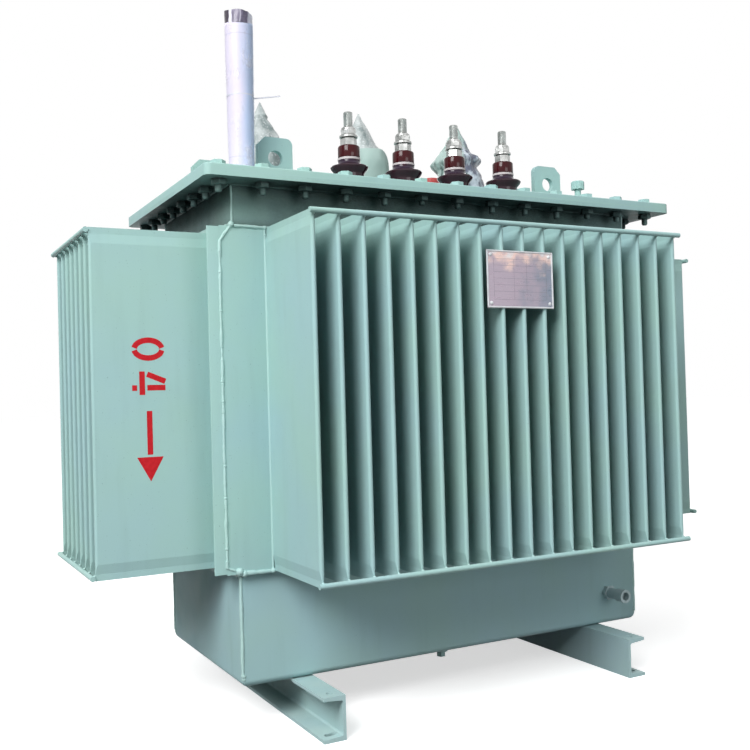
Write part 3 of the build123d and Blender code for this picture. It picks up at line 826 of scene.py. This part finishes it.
def cover_bolts():
    """Bolt heads on the cover and nuts with thread ends under the flange."""
    flange_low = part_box("rim_flange")[0].z
    heads = Shape()
    nuts = Shape()
    nut_end = -WASHER_HEIGHT - NUT_HEIGHT
    for x, y in bolt_places():
        turn = random.uniform(0.0, math.tau)
        top = Vector((x, y, cover_top))
        turned(heads, top, [(WASHER_RADIUS, 0.0), (WASHER_RADIUS, WASHER_HEIGHT)], WASHER_SEGMENTS)
        hexagon(heads, top, BOLT_FLATS, WASHER_HEIGHT, WASHER_HEIGHT + BOLT_HEAD, BOLT_CHAMFER, turn)
        under = Vector((x, y, flange_low))
        turned(nuts, under, [(WASHER_RADIUS, -WASHER_HEIGHT), (WASHER_RADIUS, 0.0)], WASHER_SEGMENTS)
        hexagon(nuts, under, BOLT_FLATS, nut_end, -WASHER_HEIGHT, BOLT_CHAMFER, -turn)
        tip = nut_end - random.uniform(*BOLT_ENDS)
        slope = tip + BOLT_RADIUS * BOLT_SLOPE_SHARE
        point = BOLT_RADIUS * BOLT_POINT_SHARE
        turned(nuts, under, [(point, tip), (BOLT_RADIUS, slope), (BOLT_RADIUS, nut_end)], BOLT_SEGMENTS)
    make("cover_bolt_heads", heads, paint)
    # The nuts get the darker paint: painted shade under the flange
    make("cover_bolt_nuts", nuts, shaded_nut_paint)


def lv_bushings():
    """Glazed bodies of the low-voltage bushings, with a wide brim and a round-shouldered barrel."""
    for n in range(1, 5):
        node = f"lv_bushing_{n}"
        foot = middle(node)
        shape = Shape()
        turned(shape, foot, LV_BODY)
        turned(shape, foot, LV_BARREL)
        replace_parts(make(node + "_glazed", shape, porcelain), node)


def lv_terminals():
    """Collar, washer, nut and threaded stud of each low-voltage terminal."""
    for n in range(1, 5):
        node = f"lv_terminal_{n}"
        foot = middle(node)
        turn = random.uniform(0.0, math.tau)
        shape = Shape()
        hexagon(shape, foot, COLLAR_FLATS, *COLLAR_LEVELS, TERMINAL_CHAMFER, turn)
        turned(shape, foot, [(NECK_RADIUS, COLLAR_LEVELS[1]), (NECK_RADIUS, TERMINAL_NUT_LEVELS[0])])
        turned(shape, foot, LV_WASHER)
        nut_turn = turn + TERMINAL_NUT_TURN
        hexagon(shape, foot, TERMINAL_NUT_FLATS, *TERMINAL_NUT_LEVELS, TERMINAL_CHAMFER, nut_turn)
        turned(shape, foot, LV_NUT_CONE)
        thread(shape, foot, STUD_RADIUS, STUD_LEVELS, STUD_PITCH, STUD_DEPTH)
        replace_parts(make(node + "_threaded", shape, plated, TERMINAL_ANGLE), node)


def level_radii(levels, height):
    """Radii at a height between the levels of a profile, on its left and on its right."""
    for low, high in zip(levels, levels[1:]):
        if height <= high[0]:
            share = (height - low[0]) / (high[0] - low[0])
            return low[1] + (high[1] - low[1]) * share, low[-1] + (high[-1] - low[-1]) * share
    return levels[-1][1], levels[-1][-1]


def crumple(point, scale):
    """Sharp folds between flat facets, from 0 at a fold to 1 inside a facet."""
    near = noise.voronoi(point * scale)[0]
    return min(1.0, (near[1] - near[0]) * FOLD_SLOPE)


def film_rows(foot, levels, lean, folds, pleats, seed):
    """Rows of a creased film skin: facets all over, and pleats that twist together towards the tip."""
    low, high = levels[0][0], levels[-1][0]

    def point(height, angle):
        back, front = level_radii(levels, height)
        radius = back + (front - back) * (1.0 + math.cos(angle - WRAP_FACING)) / 2
        spot = polar(radius, angle, height) + Vector((seed, seed, 0.0))
        fold = crumple(Vector((spot.x, spot.y, spot.z * FOLD_TALL)), FOLD_SCALE) - FOLD_LEVEL
        rise = (height - low) / (high - low)
        gather = max(0.0, (rise - PLEAT_START) / (1.0 - PLEAT_START))
        twist = angle + PLEAT_TWIST * rise + PLEAT_DRIFT * noise.noise(spot * PLEAT_DRIFT_SCALE)
        pleat = abs(((twist * pleats / math.tau) % 1.0) * 2.0 - 1.0) - 0.5
        reach = radius + folds * fold * min(1.0, radius / FOLD_FADE)
        reach += PLEAT_SHARE * radius * gather * pleat
        drift = lean * min(1.0, rise * LEAN_RATE)
        return foot + polar(max(reach, FILM_LEAST), angle, height) + drift

    return rounds(spread(low, high, round((high - low) / WRAP_ROW)), WRAP_SEGMENTS, point)


def wrap(name, node, levels, material, folds=0.0045, pleats=7, lean=(0.0, 0.0, 0.0), seed=0.0):
    """One film wrap over a high-voltage bushing."""
    shape = Shape()
    shape.grid(film_rows(middle(node), levels, Vector(lean), folds, pleats, seed))
    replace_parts(make(name, shape, material, FILM_ANGLE), node)


def hv_wraps():
    """Film over the high-voltage bushings: a tied cone, a cone in a smooth cup, and a clinging bag."""
    silver = film_finish("wrap_film", (0.50, 0.54, 0.54), (0.20, 0.25, 0.25))
    cup = cup_finish()
    clinging = clinging_film_finish(middle("hv_wrap_3"))
    wrap("hv_film_1", "hv_wrap_1", WRAP_LEFT, silver, folds=0.0036, pleats=5, seed=0.37)
    wrap("hv_film_2_cup", "hv_wrap_2", WRAP_CUP, cup, folds=0.0008, pleats=3, seed=1.71)
    wrap("hv_film_2_cone", "hv_wrap_2", WRAP_CONE, silver, pleats=7, lean=CONE_LEAN, seed=2.13)
    wrap("hv_film_3", "hv_wrap_3", WRAP_RIGHT, clinging, folds=0.0055, pleats=7, seed=3.29)


def roll_axis(foot, height):
    """Where the roll's axis stands at a height: it leans a little at its foot."""
    return foot + Vector(ROLL_LEAN) * (2.0 - height / ROLL_LEVELS[1])


def paper_top(angle):
    """Height of the rolled sheet's upper edge, which dips towards the front."""
    return ROLL_LEVELS[1] - ROLL_DIP * (1.0 + math.cos(angle - ROLL_FRONT)) / 2


def spiral_point(foot, share, rise):
    """A point of the rolled sheet: share runs from its outer edge inwards, and rise from foot to top."""
    angle = share * ROLL_TURNS * math.tau + ROLL_START
    height = ROLL_LEVELS[0] + (paper_top(angle) - ROLL_LEVELS[0]) * rise
    around, upwards = ROLL_WAVE_RATES
    wobble = ROLL_WAVE * math.sin(angle * around + height * upwards)
    wobble += ROLL_RUCK * noise.noise(Vector((angle, height * ROLL_RUCK_SCALE, 0.5)))
    radius = level_radii(ROLL_PROFILE, height)[0] - ROLL_SHEET * share * ROLL_TURNS + wobble
    return roll_axis(foot, height) + polar(radius, angle, height)


def document_roll():
    """Sheet of paper rolled round the filler pipe, in a thin sleeve with a crumpled, open end."""
    foot = middle("document_roll")
    columns = round(ROLL_SEGMENTS * ROLL_TURNS)
    rows = []
    for n in range(ROLL_ROWS + 1):
        rows.append([spiral_point(foot, c / columns, n / ROLL_ROWS) for c in range(columns + 1)])
    shape = Shape()
    shape.grid(rows, closed=False)
    roll = make("paper_roll", shape, paper_finish())
    thicken = roll.modifiers.new("sheet", "SOLIDIFY")
    thicken.thickness = PAPER_THICK
    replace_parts(roll, "document_roll")
    make("paper_sleeve", sleeve_shape(foot), sleeve_finish())
    make("sleeve_collar", collar_shape(foot), collar_finish(), FILM_ANGLE)


def sleeve_shape(foot):
    """Clear tube that clings to the paper."""
    def point(height, angle):
        reach = level_radii(ROLL_PROFILE, height)[0] + SLEEVE_GAP
        fold = crumple(polar(reach, angle, height * SLEEVE_FOLD_TALL), SLEEVE_FOLD_SCALE)
        return roll_axis(foot, height) + polar(reach + SLEEVE_FOLD * fold, angle, height)

    shape = Shape()
    shape.grid(rounds(spread(*SLEEVE_LEVELS, ROLL_ROWS * 2), ROLL_SEGMENTS, point), caps=False)
    return shape


def collar_shape(foot):
    """Loose end of the sleeve above the paper, squeezed to a rough square and folded in at its rim."""
    def point(share, angle):
        rim = COLLAR_RIM * noise.noise(polar(COLLAR_RIM_SCALE, angle, 0.0))
        rim -= COLLAR_TILT * math.cos(angle - WRAP_FACING)
        low = paper_top(angle) - COLLAR_LAP
        height = low + (COLLAR_TOP + rim - low) * share
        spot = polar(COLLAR_FOLD_RADIUS, angle, height * COLLAR_FOLD_TALL)
        fold = crumple(spot, COLLAR_FOLD_SCALE) - 0.5
        square = COLLAR_SQUARE * math.cos(4.0 * angle + COLLAR_TURN)
        reach = level_radii(ROLL_PROFILE, height)[0]
        reach += share * (square + COLLAR_FOLD * fold - COLLAR_PULL)
        return roll_axis(foot, height) + polar(reach, angle, height)

    rows = rounds(spread(0.0, 1.0, COLLAR_ROWS), ROLL_SEGMENTS, point)
    inside = roll_axis(foot, COLLAR_TOP) + Vector((0.0, 0.0, COLLAR_TOP - COLLAR_DEEP))
    rows.append([spot.lerp(inside, COLLAR_TUCK_SHARE) for spot in rows[-1]])
    shape = Shape()
    shape.grid(rows)
    return shape


def roll_tie():
    """Clear strap round the roll with a thin free tail."""
    foot = middle("document_roll")
    low, high = TIE_LEVELS
    shape = Shape()
    inner = level_radii(ROLL_PROFILE, low)[0]
    outer = inner + TIE_THICK
    band = [(inner, low), (outer, low + TIE_THICK), (outer, high - TIE_THICK), (inner, high), (inner, low)]
    rows = [ring(roll_axis(foot, low), radius, height, TIE_SEGMENTS) for radius, height in band]
    shape.grid(rows, caps=False)
    tail = []
    for point in TIE_TAIL:
        across = Vector((0.0, TAIL_THICK, 0.0))
        up = Vector((0.0, 0.0, TIE_TALL))
        spot = foot + Vector(point)
        tail.append([spot - across - up, spot + across - up, spot + across + up, spot - across + up])
    shape.grid(tail)
    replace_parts(make("roll_strap", shape, strap), "roll_tie")


def flat_rectangle(x0, x1, z0, z1, y, inset=0.0):
    """Corners of an upright rectangle that faces the front, drawn in by an inset."""
    x0, x1, z0, z1 = x0 + inset, x1 - inset, z0 + inset, z1 - inset
    return [Vector((x0, y, z0)), Vector((x1, y, z0)), Vector((x1, y, z1)), Vector((x0, y, z1))]


def rating_plate():
    """Brushed plate with a bright rolled rim, four rivets and ruled fields that are left empty."""
    low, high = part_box("nameplate")
    face = high.y - PLATE_SHEET
    extent = (low.x, high.x, low.z, high.z, face)
    shape = Shape()
    shape.prism(flat_rectangle(*extent), Vector((0.0, PLATE_SHEET, 0.0)))
    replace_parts(make("rating_plate", shape, plate_finish(low, high)), "nameplate")
    trim = Shape()
    corners = flat_rectangle(*extent, PLATE_RIM)
    for start, end in zip(corners, corners[1:] + corners[:1]):
        tube(trim, [start, start.lerp(end, 0.5), end], [PLATE_RIM] * 3)
    for corner in flat_rectangle(*extent, PLATE_RIVET_INSET):
        rivet(trim, corner)
    make("rating_plate_trim", trim, bright_trim)
    make("rating_plate_rules", plate_rules(low, high, face), etched)


def rivet(shape, centre):
    """A domed rivet that faces the front."""
    def point(level, angle):
        share, lift = level
        spot = polar(PLATE_RIVET * share, angle, 0.0)
        return centre + Vector((spot.x, -PLATE_RIVET * lift, spot.y))

    shape.grid(rounds(RIVET_DOME, RIVET_SIDES, point))


def plate_rules(low, high, face):
    """Thin etched lines that divide the plate into empty fields."""
    left, right = low.x + PLATE_MARGIN, high.x - PLATE_MARGIN
    bottom, top = low.z + PLATE_MARGIN, high.z - PLATE_MARGIN
    half = PLATE_RULE / 2
    proud = face - PLATE_RULE * RULE_PROUD_SHARE
    depth = Vector((0.0, PLATE_RULE, 0.0))
    shape = Shape()
    for share in PLATE_ROWS_SHARES:
        z = bottom + (top - bottom) * share
        shape.prism(flat_rectangle(left - half, right + half, z - half, z + half, proud), depth)
    for share in PLATE_COLUMNS_SHARES:
        x = left + (right - left) * share
        shape.prism(flat_rectangle(x - half, x + half, bottom, top, proud), depth)
    return shape


def stencil_spot(down, across):
    """A point on the fin's face, measured down from the stencil's top and across to the right."""
    face = -(SHORT_PITCH * (SHORT_FINS - 1) / 2 + FIN_HALF) - STENCIL_LIFT
    return Vector((STENCIL_X[0] + across, face, STENCIL_TOP - down))


def stroke(shape, points):
    """A flat band of the stencil's stroke width along (down, across) points."""
    left = []
    right = []
    for n, point in enumerate(points):
        before = Vector(points[max(n - 1, 0)])
        after = Vector(points[min(n + 1, len(points) - 1)])
        ahead = (after - before).normalized() * (STENCIL_STROKE / 2)
        left.append(stencil_spot(point[0] - ahead.y, point[1] + ahead.x))
        right.append(stencil_spot(point[0] + ahead.y, point[1] - ahead.x))
    depth = Vector((0.0, STENCIL_DEPTH, 0.0))
    for n in range(len(points) - 1):
        shape.prism([left[n], left[n + 1], right[n + 1], right[n]], depth)


def stencil_zero(shape, start, wide, tall):
    """A round digit in two halves with bridges between them."""
    reach_down = (wide - STENCIL_STROKE) / 2
    reach_across = (tall - STENCIL_STROKE) / 2
    gap = math.asin(STENCIL_BRIDGE / 2 / reach_down)
    for side in (0.0, math.pi):
        arc = []
        for n in range(STENCIL_ARC + 1):
            angle = side + gap + (math.pi - 2 * gap) * n / STENCIL_ARC
            down = start + wide / 2 - reach_down * math.sin(angle)
            arc.append((down, tall / 2 + reach_across * math.cos(angle)))
        stroke(shape, arc)


def stencil_four(shape, start, wide, tall):
    """A digit of a stem, a bar and a slanted stroke, cut apart by bridges."""
    half = STENCIL_STROKE / 2
    bar = tall * STENCIL_BAR_SHARE
    stem = start + wide * STENCIL_STEM_SHARE
    slant_end = stem - STENCIL_STROKE * STENCIL_SLANT_SHARE
    edge = half + STENCIL_BRIDGE
    stroke(shape, [(start, bar), (start + wide, bar)])
    stroke(shape, [(stem, 0.0), (stem, bar - edge)])
    stroke(shape, [(stem, bar + edge), (stem, tall)])
    stroke(shape, [(start + half, bar + edge), (slant_end, tall)])


def stencil():
    """Two plain digits and an arrow that points down the fin."""
    shape = Shape()
    tall = STENCIL_X[1] - STENCIL_X[0]
    stencil_zero(shape, 0.0, STENCIL_WIDTH, tall)
    stencil_four(shape, STENCIL_STEP, STENCIL_WIDTH, tall)
    start = STENCIL_STEP * 2 + STENCIL_STROKE
    neck = start + STENCIL_ARROW * STENCIL_NECK_SHARE
    tip = start + STENCIL_ARROW
    stroke(shape, [(start, tall / 2), (neck, tall / 2)])
    base = neck + STENCIL_BRIDGE
    downs = (base, tip, base)
    head = [stencil_spot(down, tall * share) for down, share in zip(downs, STENCIL_HEAD_SHARES)]
    shape.prism(head, Vector((0.0, STENCIL_DEPTH, 0.0)))
    make("stencil_marks", shape, stencil_red)


def trimmed_wall(side):
    """A short wall whose sheet ends beside its outer fins, where the corner posts go on."""
    node = "corrugated_wall_" + side
    work = bmesh.new()
    work.from_mesh(nodes[node].data)
    bmesh.ops.remove_doubles(work, verts=work.verts, dist=WELD_DISTANCE)
    for sy in (-1, 1):
        everything = [*work.verts, *work.edges, *work.faces]
        plane = {"plane_co": (0.0, sy * WALL_TRIM, 0.0), "plane_no": (0.0, sy, 0.0)}
        cut = bmesh.ops.bisect_plane(work, geom=everything, clear_outer=True, **plane)
        rim = [edge for edge in cut["geom_cut"] if isinstance(edge, bmesh.types.BMEdge)]
        bmesh.ops.holes_fill(work, edges=rim)
    mesh = bpy.data.meshes.new(node + "_trimmed")
    work.to_mesh(mesh)
    work.free()
    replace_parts(settle(node + "_trimmed", mesh, paint, FOLD_ANGLE), node)


def corner_posts():
    """A folded post at each corner of the tank, and the plain panel from it to the short wall."""
    shape = Shape()
    wall_low, wall_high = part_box("corrugated_wall_front")
    tank_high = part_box("lower_tank")[1]
    low, high = POST_LEVELS
    up = Vector((0.0, 0.0, high - low))
    face = -(wall_low.y + LONG_DEPTH) + POST_PROUD
    side = wall_high.x + POST_OUT
    for sx in (-1, 1):
        for sy in (-1, 1):
            fold = []
            for n in range(POST_ARC + 1):
                turn = math.pi / 2 * n / POST_ARC
                reach = POST_ROUND * (math.cos(turn) - 1.0), POST_ROUND * (math.sin(turn) - 1.0)
                fold.append(Vector((sx * (side + reach[0]), sy * (face + reach[1]), low)))
            back = face - POST_DEEP
            inner = wall_high.x + POST_PROUD
            fold.append(Vector((sx * inner, sy * face, low)))
            fold.append(Vector((sx * inner, sy * back, low)))
            fold.append(Vector((sx * side, sy * back, low)))
            shape.prism(fold, up)
            near, far = face - PANEL_BACK, WALL_TRIM - TRIM_LAP
            panel = [(tank_high.x, near), (wall_high.x, near), (wall_high.x, far), (tank_high.x, far)]
            shape.prism([Vector((sx * x, sy * y, low)) for x, y in panel], up)
    make("corner_posts", shape, paint)


def corner_welds(shape, sx, sy):
    """Welds at one corner of the tank: up the trough, round the wall's edge and up the frame."""
    trough_low, trough_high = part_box("lower_tank")
    frame_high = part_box("upper_frame")[1]
    wall_low, wall_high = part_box("corrugated_wall_front")
    x, y = sx * trough_high.x, sy * trough_high.y
    edge = sx * wall_high.x
    face = -sy * (wall_low.y + LONG_DEPTH + WALL_PROUD + SEAM_SINK)
    bend = trough_low.z + TROUGH_BEND
    inset = Vector((sx, sy, 0.0)) * BEAD_SINK
    ends = [Vector((x, y, z)) - inset for z in (bend, wall_low.z, frame_high.z, wall_high.z)]
    bead(shape, ends[:2], TROUGH_BEAD, TROUGH_UNEVEN)
    for n in range(TROUGH_LUMPS):
        spot = Vector((x, y, bend - SEAM_BEAD * LUMP_STEP_SHARE * n)) - inset * (2 + n)
        lump(shape, spot, SEAM_BEAD * TROUGH_LUMP_SHARE)
    bead(shape, ends[2:], FRAME_BEAD)
    corner = (x + sx * SEAM_BEAD, face, wall_high.z + SEAM_BEAD * CORNER_LIFT_SHARE)
    foot = (x + sx * SEAM_BEAD, face, wall_low.z + SEAM_BEAD)
    upper = (edge, face, wall_high.z - CORNER_CUT)
    lower = (edge, face, wall_low.z + CORNER_RISE)
    bead(shape, [corner, upper, lower, foot], SEAM_BEAD * EDGE_SHARE, EDGE_UNEVEN)
    spatter(shape, corner, upper, SEAM_BEAD, SPATTER_CUT)
    spatter(shape, upper, lower, SEAM_BEAD, SPATTER_EDGE)
    lump(shape, Vector(corner), SEAM_BEAD * END_LUMP_SHARE)
    lump(shape, Vector(foot), SEAM_BEAD * FOOT_LUMP_SHARE)
    lump(shape, Vector((x - sx * SEAM_BEAD, face, wall_low.z)), SEAM_BEAD * INNER_LUMP_SHARE)


def edge_welds(shape, sy):
    """Welds along the upper and lower edges of a long wall, with blobs and folds beside its end fins."""
    wall_low, wall_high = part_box("corrugated_wall_front")
    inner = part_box("upper_frame")[1].x
    face = -sy * (wall_low.y + LONG_DEPTH)
    root = LONG_PITCH * (LONG_FINS - 1) / 2 + FIN_HALF
    for z, radius in ((wall_low.z, SEAM_BEAD), (wall_high.z, FINE_BEAD)):
        for sx in (-1, 1):
            bead(shape, [(sx * inner, face, z), (sx * root, face, z)], radius)
            lump(shape, Vector((sx * root, face, z)), radius * END_LUMP_SHARE)
        bead(shape, [(-root, face, z), (root, face, z)], FINE_BEAD)
    for sx in (-1, 1):
        bead(shape, [(sx * root, face, wall_low.z), (sx * root, face, wall_high.z)], ROOT_BEAD, ROOT_UNEVEN)
        lump(shape, Vector((sx * root, face, wall_high.z - CORNER_RISE)), FINE_BEAD)


def seam_welds():
    """Welds between tank, frame, walls and flange."""
    shape = Shape()
    eaves = Shape()
    frame_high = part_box("upper_frame")[1]
    left_low, left_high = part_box("corrugated_wall_left")
    for sy in (-1, 1):
        for sx in (-1, 1):
            corner_welds(shape, sx, sy)
        edge_welds(shape, sy)
        y = sy * (frame_high.y + FINE_BEAD)
        bead(eaves, [(-frame_high.x, y, frame_high.z), (frame_high.x, y, frame_high.z)], FINE_BEAD)
    for sx in (-1, 1):
        x = sx * (frame_high.x + FINE_BEAD)
        for z in (left_low.z, left_high.z):
            bead(shape, [(x, -frame_high.y, z), (x, frame_high.y, z)], FINE_BEAD)
        bead(eaves, [(x, -frame_high.y, frame_high.z), (x, frame_high.y, frame_high.z)], FINE_BEAD)
    make("seam_welds", shape, highlit_weld_paint, BEAD_ANGLE)
    make("eaves_welds", eaves, eaves_paint, BEAD_ANGLE)


def cover_welds():
    """Welds round the feet of the lugs and of the bosses on the cover."""
    shape = Shape()
    for lug in LUGS:
        low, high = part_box(lug)
        foot = [(low.x, low.y), (high.x, low.y), (high.x, high.y), (low.x, high.y), (low.x, low.y)]
        bead(shape, [(x, y, cover_top) for x, y in foot], SEAM_BEAD)
    for node in ("filler_pipe", "relief_valve", "tap_changer_base"):
        low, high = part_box(node)
        ring_bead(shape, middle(node), (high.x - low.x) / 2, FINE_BEAD)
    make("cover_welds", shape, highlit_weld_paint, BEAD_ANGLE)


def rod_tacks():
    """Tack welds where the rods cross the tips of the fins."""
    shape = Shape()
    long_row = (0, LONG_FINS, LONG_PITCH)
    short_row = (1, SHORT_FINS, SHORT_PITCH)
    for side, (axis, count, pitch) in zip(SIDES, (long_row, long_row, short_row, short_row)):
        low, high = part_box("fin_rods_" + side)
        across = (low[1 - axis] + high[1 - axis]) / 2
        inward = -math.copysign(ROD_RADIUS * TACK_IN_SHARE, across)
        for n in range(count):
            for z, way in ((low.z + ROD_RADIUS, 1), (high.z - ROD_RADIUS, -1)):
                spot = Vector((0.0, 0.0, z + way * ROD_RADIUS * TACK_UP_SHARE))
                spot[axis] = (n - (count - 1) / 2) * pitch
                spot[1 - axis] = across + inward
                lump(shape, spot, TACK)
    make("rod_tacks", shape, highlit_weld_paint, BEAD_ANGLE)


def add_camera():
    """A camera at the photograph's viewing angle."""
    data = bpy.data.cameras.new("camera")
    data.sensor_width = SENSOR_WIDTH
    data.lens = SENSOR_WIDTH * FOCAL_PIXELS / IMAGE_PIXELS
    data.clip_start, data.clip_end = CAMERA_CLIP
    camera = bpy.data.objects.new("camera", data)
    yaw = Matrix.Rotation(math.radians(CAMERA_YAW), 4, "Z")
    pitch = Matrix.Rotation(math.radians(90.0 + CAMERA_PITCH), 4, "X")
    roll = Matrix.Rotation(math.radians(CAMERA_ROLL), 4, "Z")
    camera.matrix_world = Matrix.Translation(CAMERA_PLACE) @ yaw @ pitch @ roll
    bpy.context.scene.collection.objects.link(camera)
    bpy.context.scene.camera = camera


def add_world():
    """White to the eye; a sky that is bright above and dim at the horizon for the light itself."""
    world = bpy.data.worlds.new("studio")
    bpy.context.scene.world = world
    world.use_nodes = True
    world.node_tree.nodes.clear()
    t = Tree(world.node_tree)
    place = t.add("ShaderNodeTexCoord").outputs["Generated"]
    height = t.add("ShaderNodeSeparateXYZ", {0: place}).outputs["Z"]
    ramp = t.add("ShaderNodeValToRGB", {0: t.between(height, -1.0, 1.0)})
    stops = ramp.color_ramp.elements
    while len(stops) < len(SKY_STOPS):
        stops.new(0.5)
    for stop, (position, level) in zip(stops, SKY_STOPS):
        stop.position = position
        stop.color = (level, level, level, 1.0)
    sky = t.add("ShaderNodeBackground", {"Color": ramp.outputs[0]}).outputs[0]
    white = t.add("ShaderNodeBackground", {"Color": WHITE}).outputs[0]
    mix = t.add("ShaderNodeMixShader", {0: t.seen_directly(), 1: sky, 2: white}).outputs[0]
    t.add("ShaderNodeOutputWorld", {0: mix})


def add_lamp(name, place, target, size, watts):
    """A square soft lamp that faces a point."""
    data = bpy.data.lights.new(name, "AREA")
    data.energy = watts
    data.shape = "SQUARE"
    data.size = size
    lamp = bpy.data.objects.new(name, data)
    lamp.location = place
    lamp.rotation_mode = "QUATERNION"
    lamp.rotation_quaternion = (Vector(target) - lamp.location).to_track_quat("-Z", "Y")
    bpy.context.scene.collection.objects.link(lamp)


def floor_finish():
    """White where no shadow falls, with little light sent back up."""
    material = bpy.data.materials.new("floor")
    material.use_nodes = True
    material.node_tree.nodes.clear()
    t = Tree(material.node_tree)
    seen = t.seen_directly()
    tone = t.blend(seen, FLOOR_BOUNCE, FLOOR_PALE)
    diffuse = t.add("ShaderNodeBsdfDiffuse", {"Color": tone}).outputs[0]
    glow = t.add("ShaderNodeEmission", {"Strength": t.math("MULTIPLY", seen, FLOOR_GLOW)}).outputs[0]
    both = t.add("ShaderNodeAddShader", {0: diffuse, 1: glow}).outputs[0]
    t.add("ShaderNodeOutputMaterial", {0: both})
    return material


def add_floor():
    """A wide pale floor under the object."""
    half = FLOOR_SIZE / 2
    corners = [(-half, -half, 0), (half, -half, 0), (half, half, 0), (-half, half, 0)]
    mesh = bpy.data.meshes.new("floor")
    mesh.from_pydata(corners, [], [(0, 1, 2, 3)])
    mesh.materials.append(floor_finish())
    floor = bpy.data.objects.new("floor", mesh)
    bpy.context.scene.collection.objects.link(floor)


# Each paint below has painted shade where neighbours hide the sky
paint = paint_finish("tank_paint")
# Eaves paint: the tank paint with strong painted shade under the cover
eaves_paint = paint_finish("eaves_paint", shelter=EAVES_SHELTER)
# Darker paint for the nuts: painted shade, and strong painted shade where sheltered
shaded_nut_paint = paint_finish("shaded_nut_paint", SHADED_NUT_TINTS, EAVES_SHELTER)
# Lighter paint for the base channels: painted light
lit_channel_paint = paint_finish("lit_channel_paint", CHANNEL_LIT_TINTS)
fitting_paint = paint_finish("fitting_paint", FITTING_TINTS, shine=0.40)
# Trough paint: slightly darker tints as painted shade, and little shine
shaded_trough_paint = paint_finish("shaded_trough_paint", TROUGH_SHADED_TINTS, shine=0.02)
# Lighter, glossier paint for the welds: its lighter tint is painted highlight
highlit_weld_paint = paint_finish("highlit_weld_paint", WELD_HIGHLIGHT_TINTS, shine=0.45)
rubber = rubber_finish()
plated = plated_finish()
porcelain = porcelain_finish()
red_cap = speckled_finish("red_cap", (0.40, 0.055, 0.050), (0.47, 0.080, 0.075), 0.45, specular=0.3)
core_steel = speckled_finish("core_steel", (0.16, 0.16, 0.17), (0.26, 0.25, 0.24), 0.55)
strap = speckled_finish("strap_plastic", (0.62, 0.63, 0.72), (0.70, 0.71, 0.80), 0.35)
stencil_red = speckled_finish("stencil_red", (0.46, 0.006, 0.013), (0.57, 0.016, 0.024), 0.55, 160.0, 0.15)
etched = speckled_finish("etched_lines", (0.13, 0.12, 0.14), (0.24, 0.22, 0.26), 0.5, 90.0, 0.2)
bright_trim = speckled_finish("plate_trim", (0.52, 0.55, 0.57), (0.68, 0.70, 0.72), 0.35, 60.0, 0.5)
sprayed_seal = speckled_finish("sprayed_seal", (0.35, 0.55, 0.51), (0.37, 0.56, 0.54), 0.5, 60.0, 0.1)

dress(paint, "cover_plate", "filler_pipe", "relief_valve", "tap_changer_base", "drain_plug", *LUGS)
dress(paint, *("fin_rods_" + side for side in SIDES))
dress(paint, *("corrugated_wall_" + side for side in SIDES), angle=FOLD_ANGLE)
dress(lit_channel_paint, "base_channel_left", "base_channel_right")
dress(shaded_trough_paint, "lower_tank")
dress(eaves_paint, "upper_frame", "rim_flange")
dress(fitting_paint, "drain_valve")
dress(rubber, "lv_gaskets")
dress(sprayed_seal, "cover_gasket")
dress(porcelain, *(f"hv_bushing_{n}" for n in range(1, 4)))
dress(plated, "hv_terminals")
dress(red_cap, "tap_changer_cap")
dress(core_steel, "core_and_windings")

cover_bolts()
lv_bushings()
lv_terminals()
hv_wraps()
document_roll()
roll_tie()
rating_plate()
stencil()
trimmed_wall("left")
trimmed_wall("right")
corner_posts()
seam_welds()
cover_welds()
rod_tacks()

add_camera()
add_world()
for lamp in LAMPS:
    add_lamp(*lamp)
add_floor()
bpy.context.scene.view_settings.view_transform = "Standard"
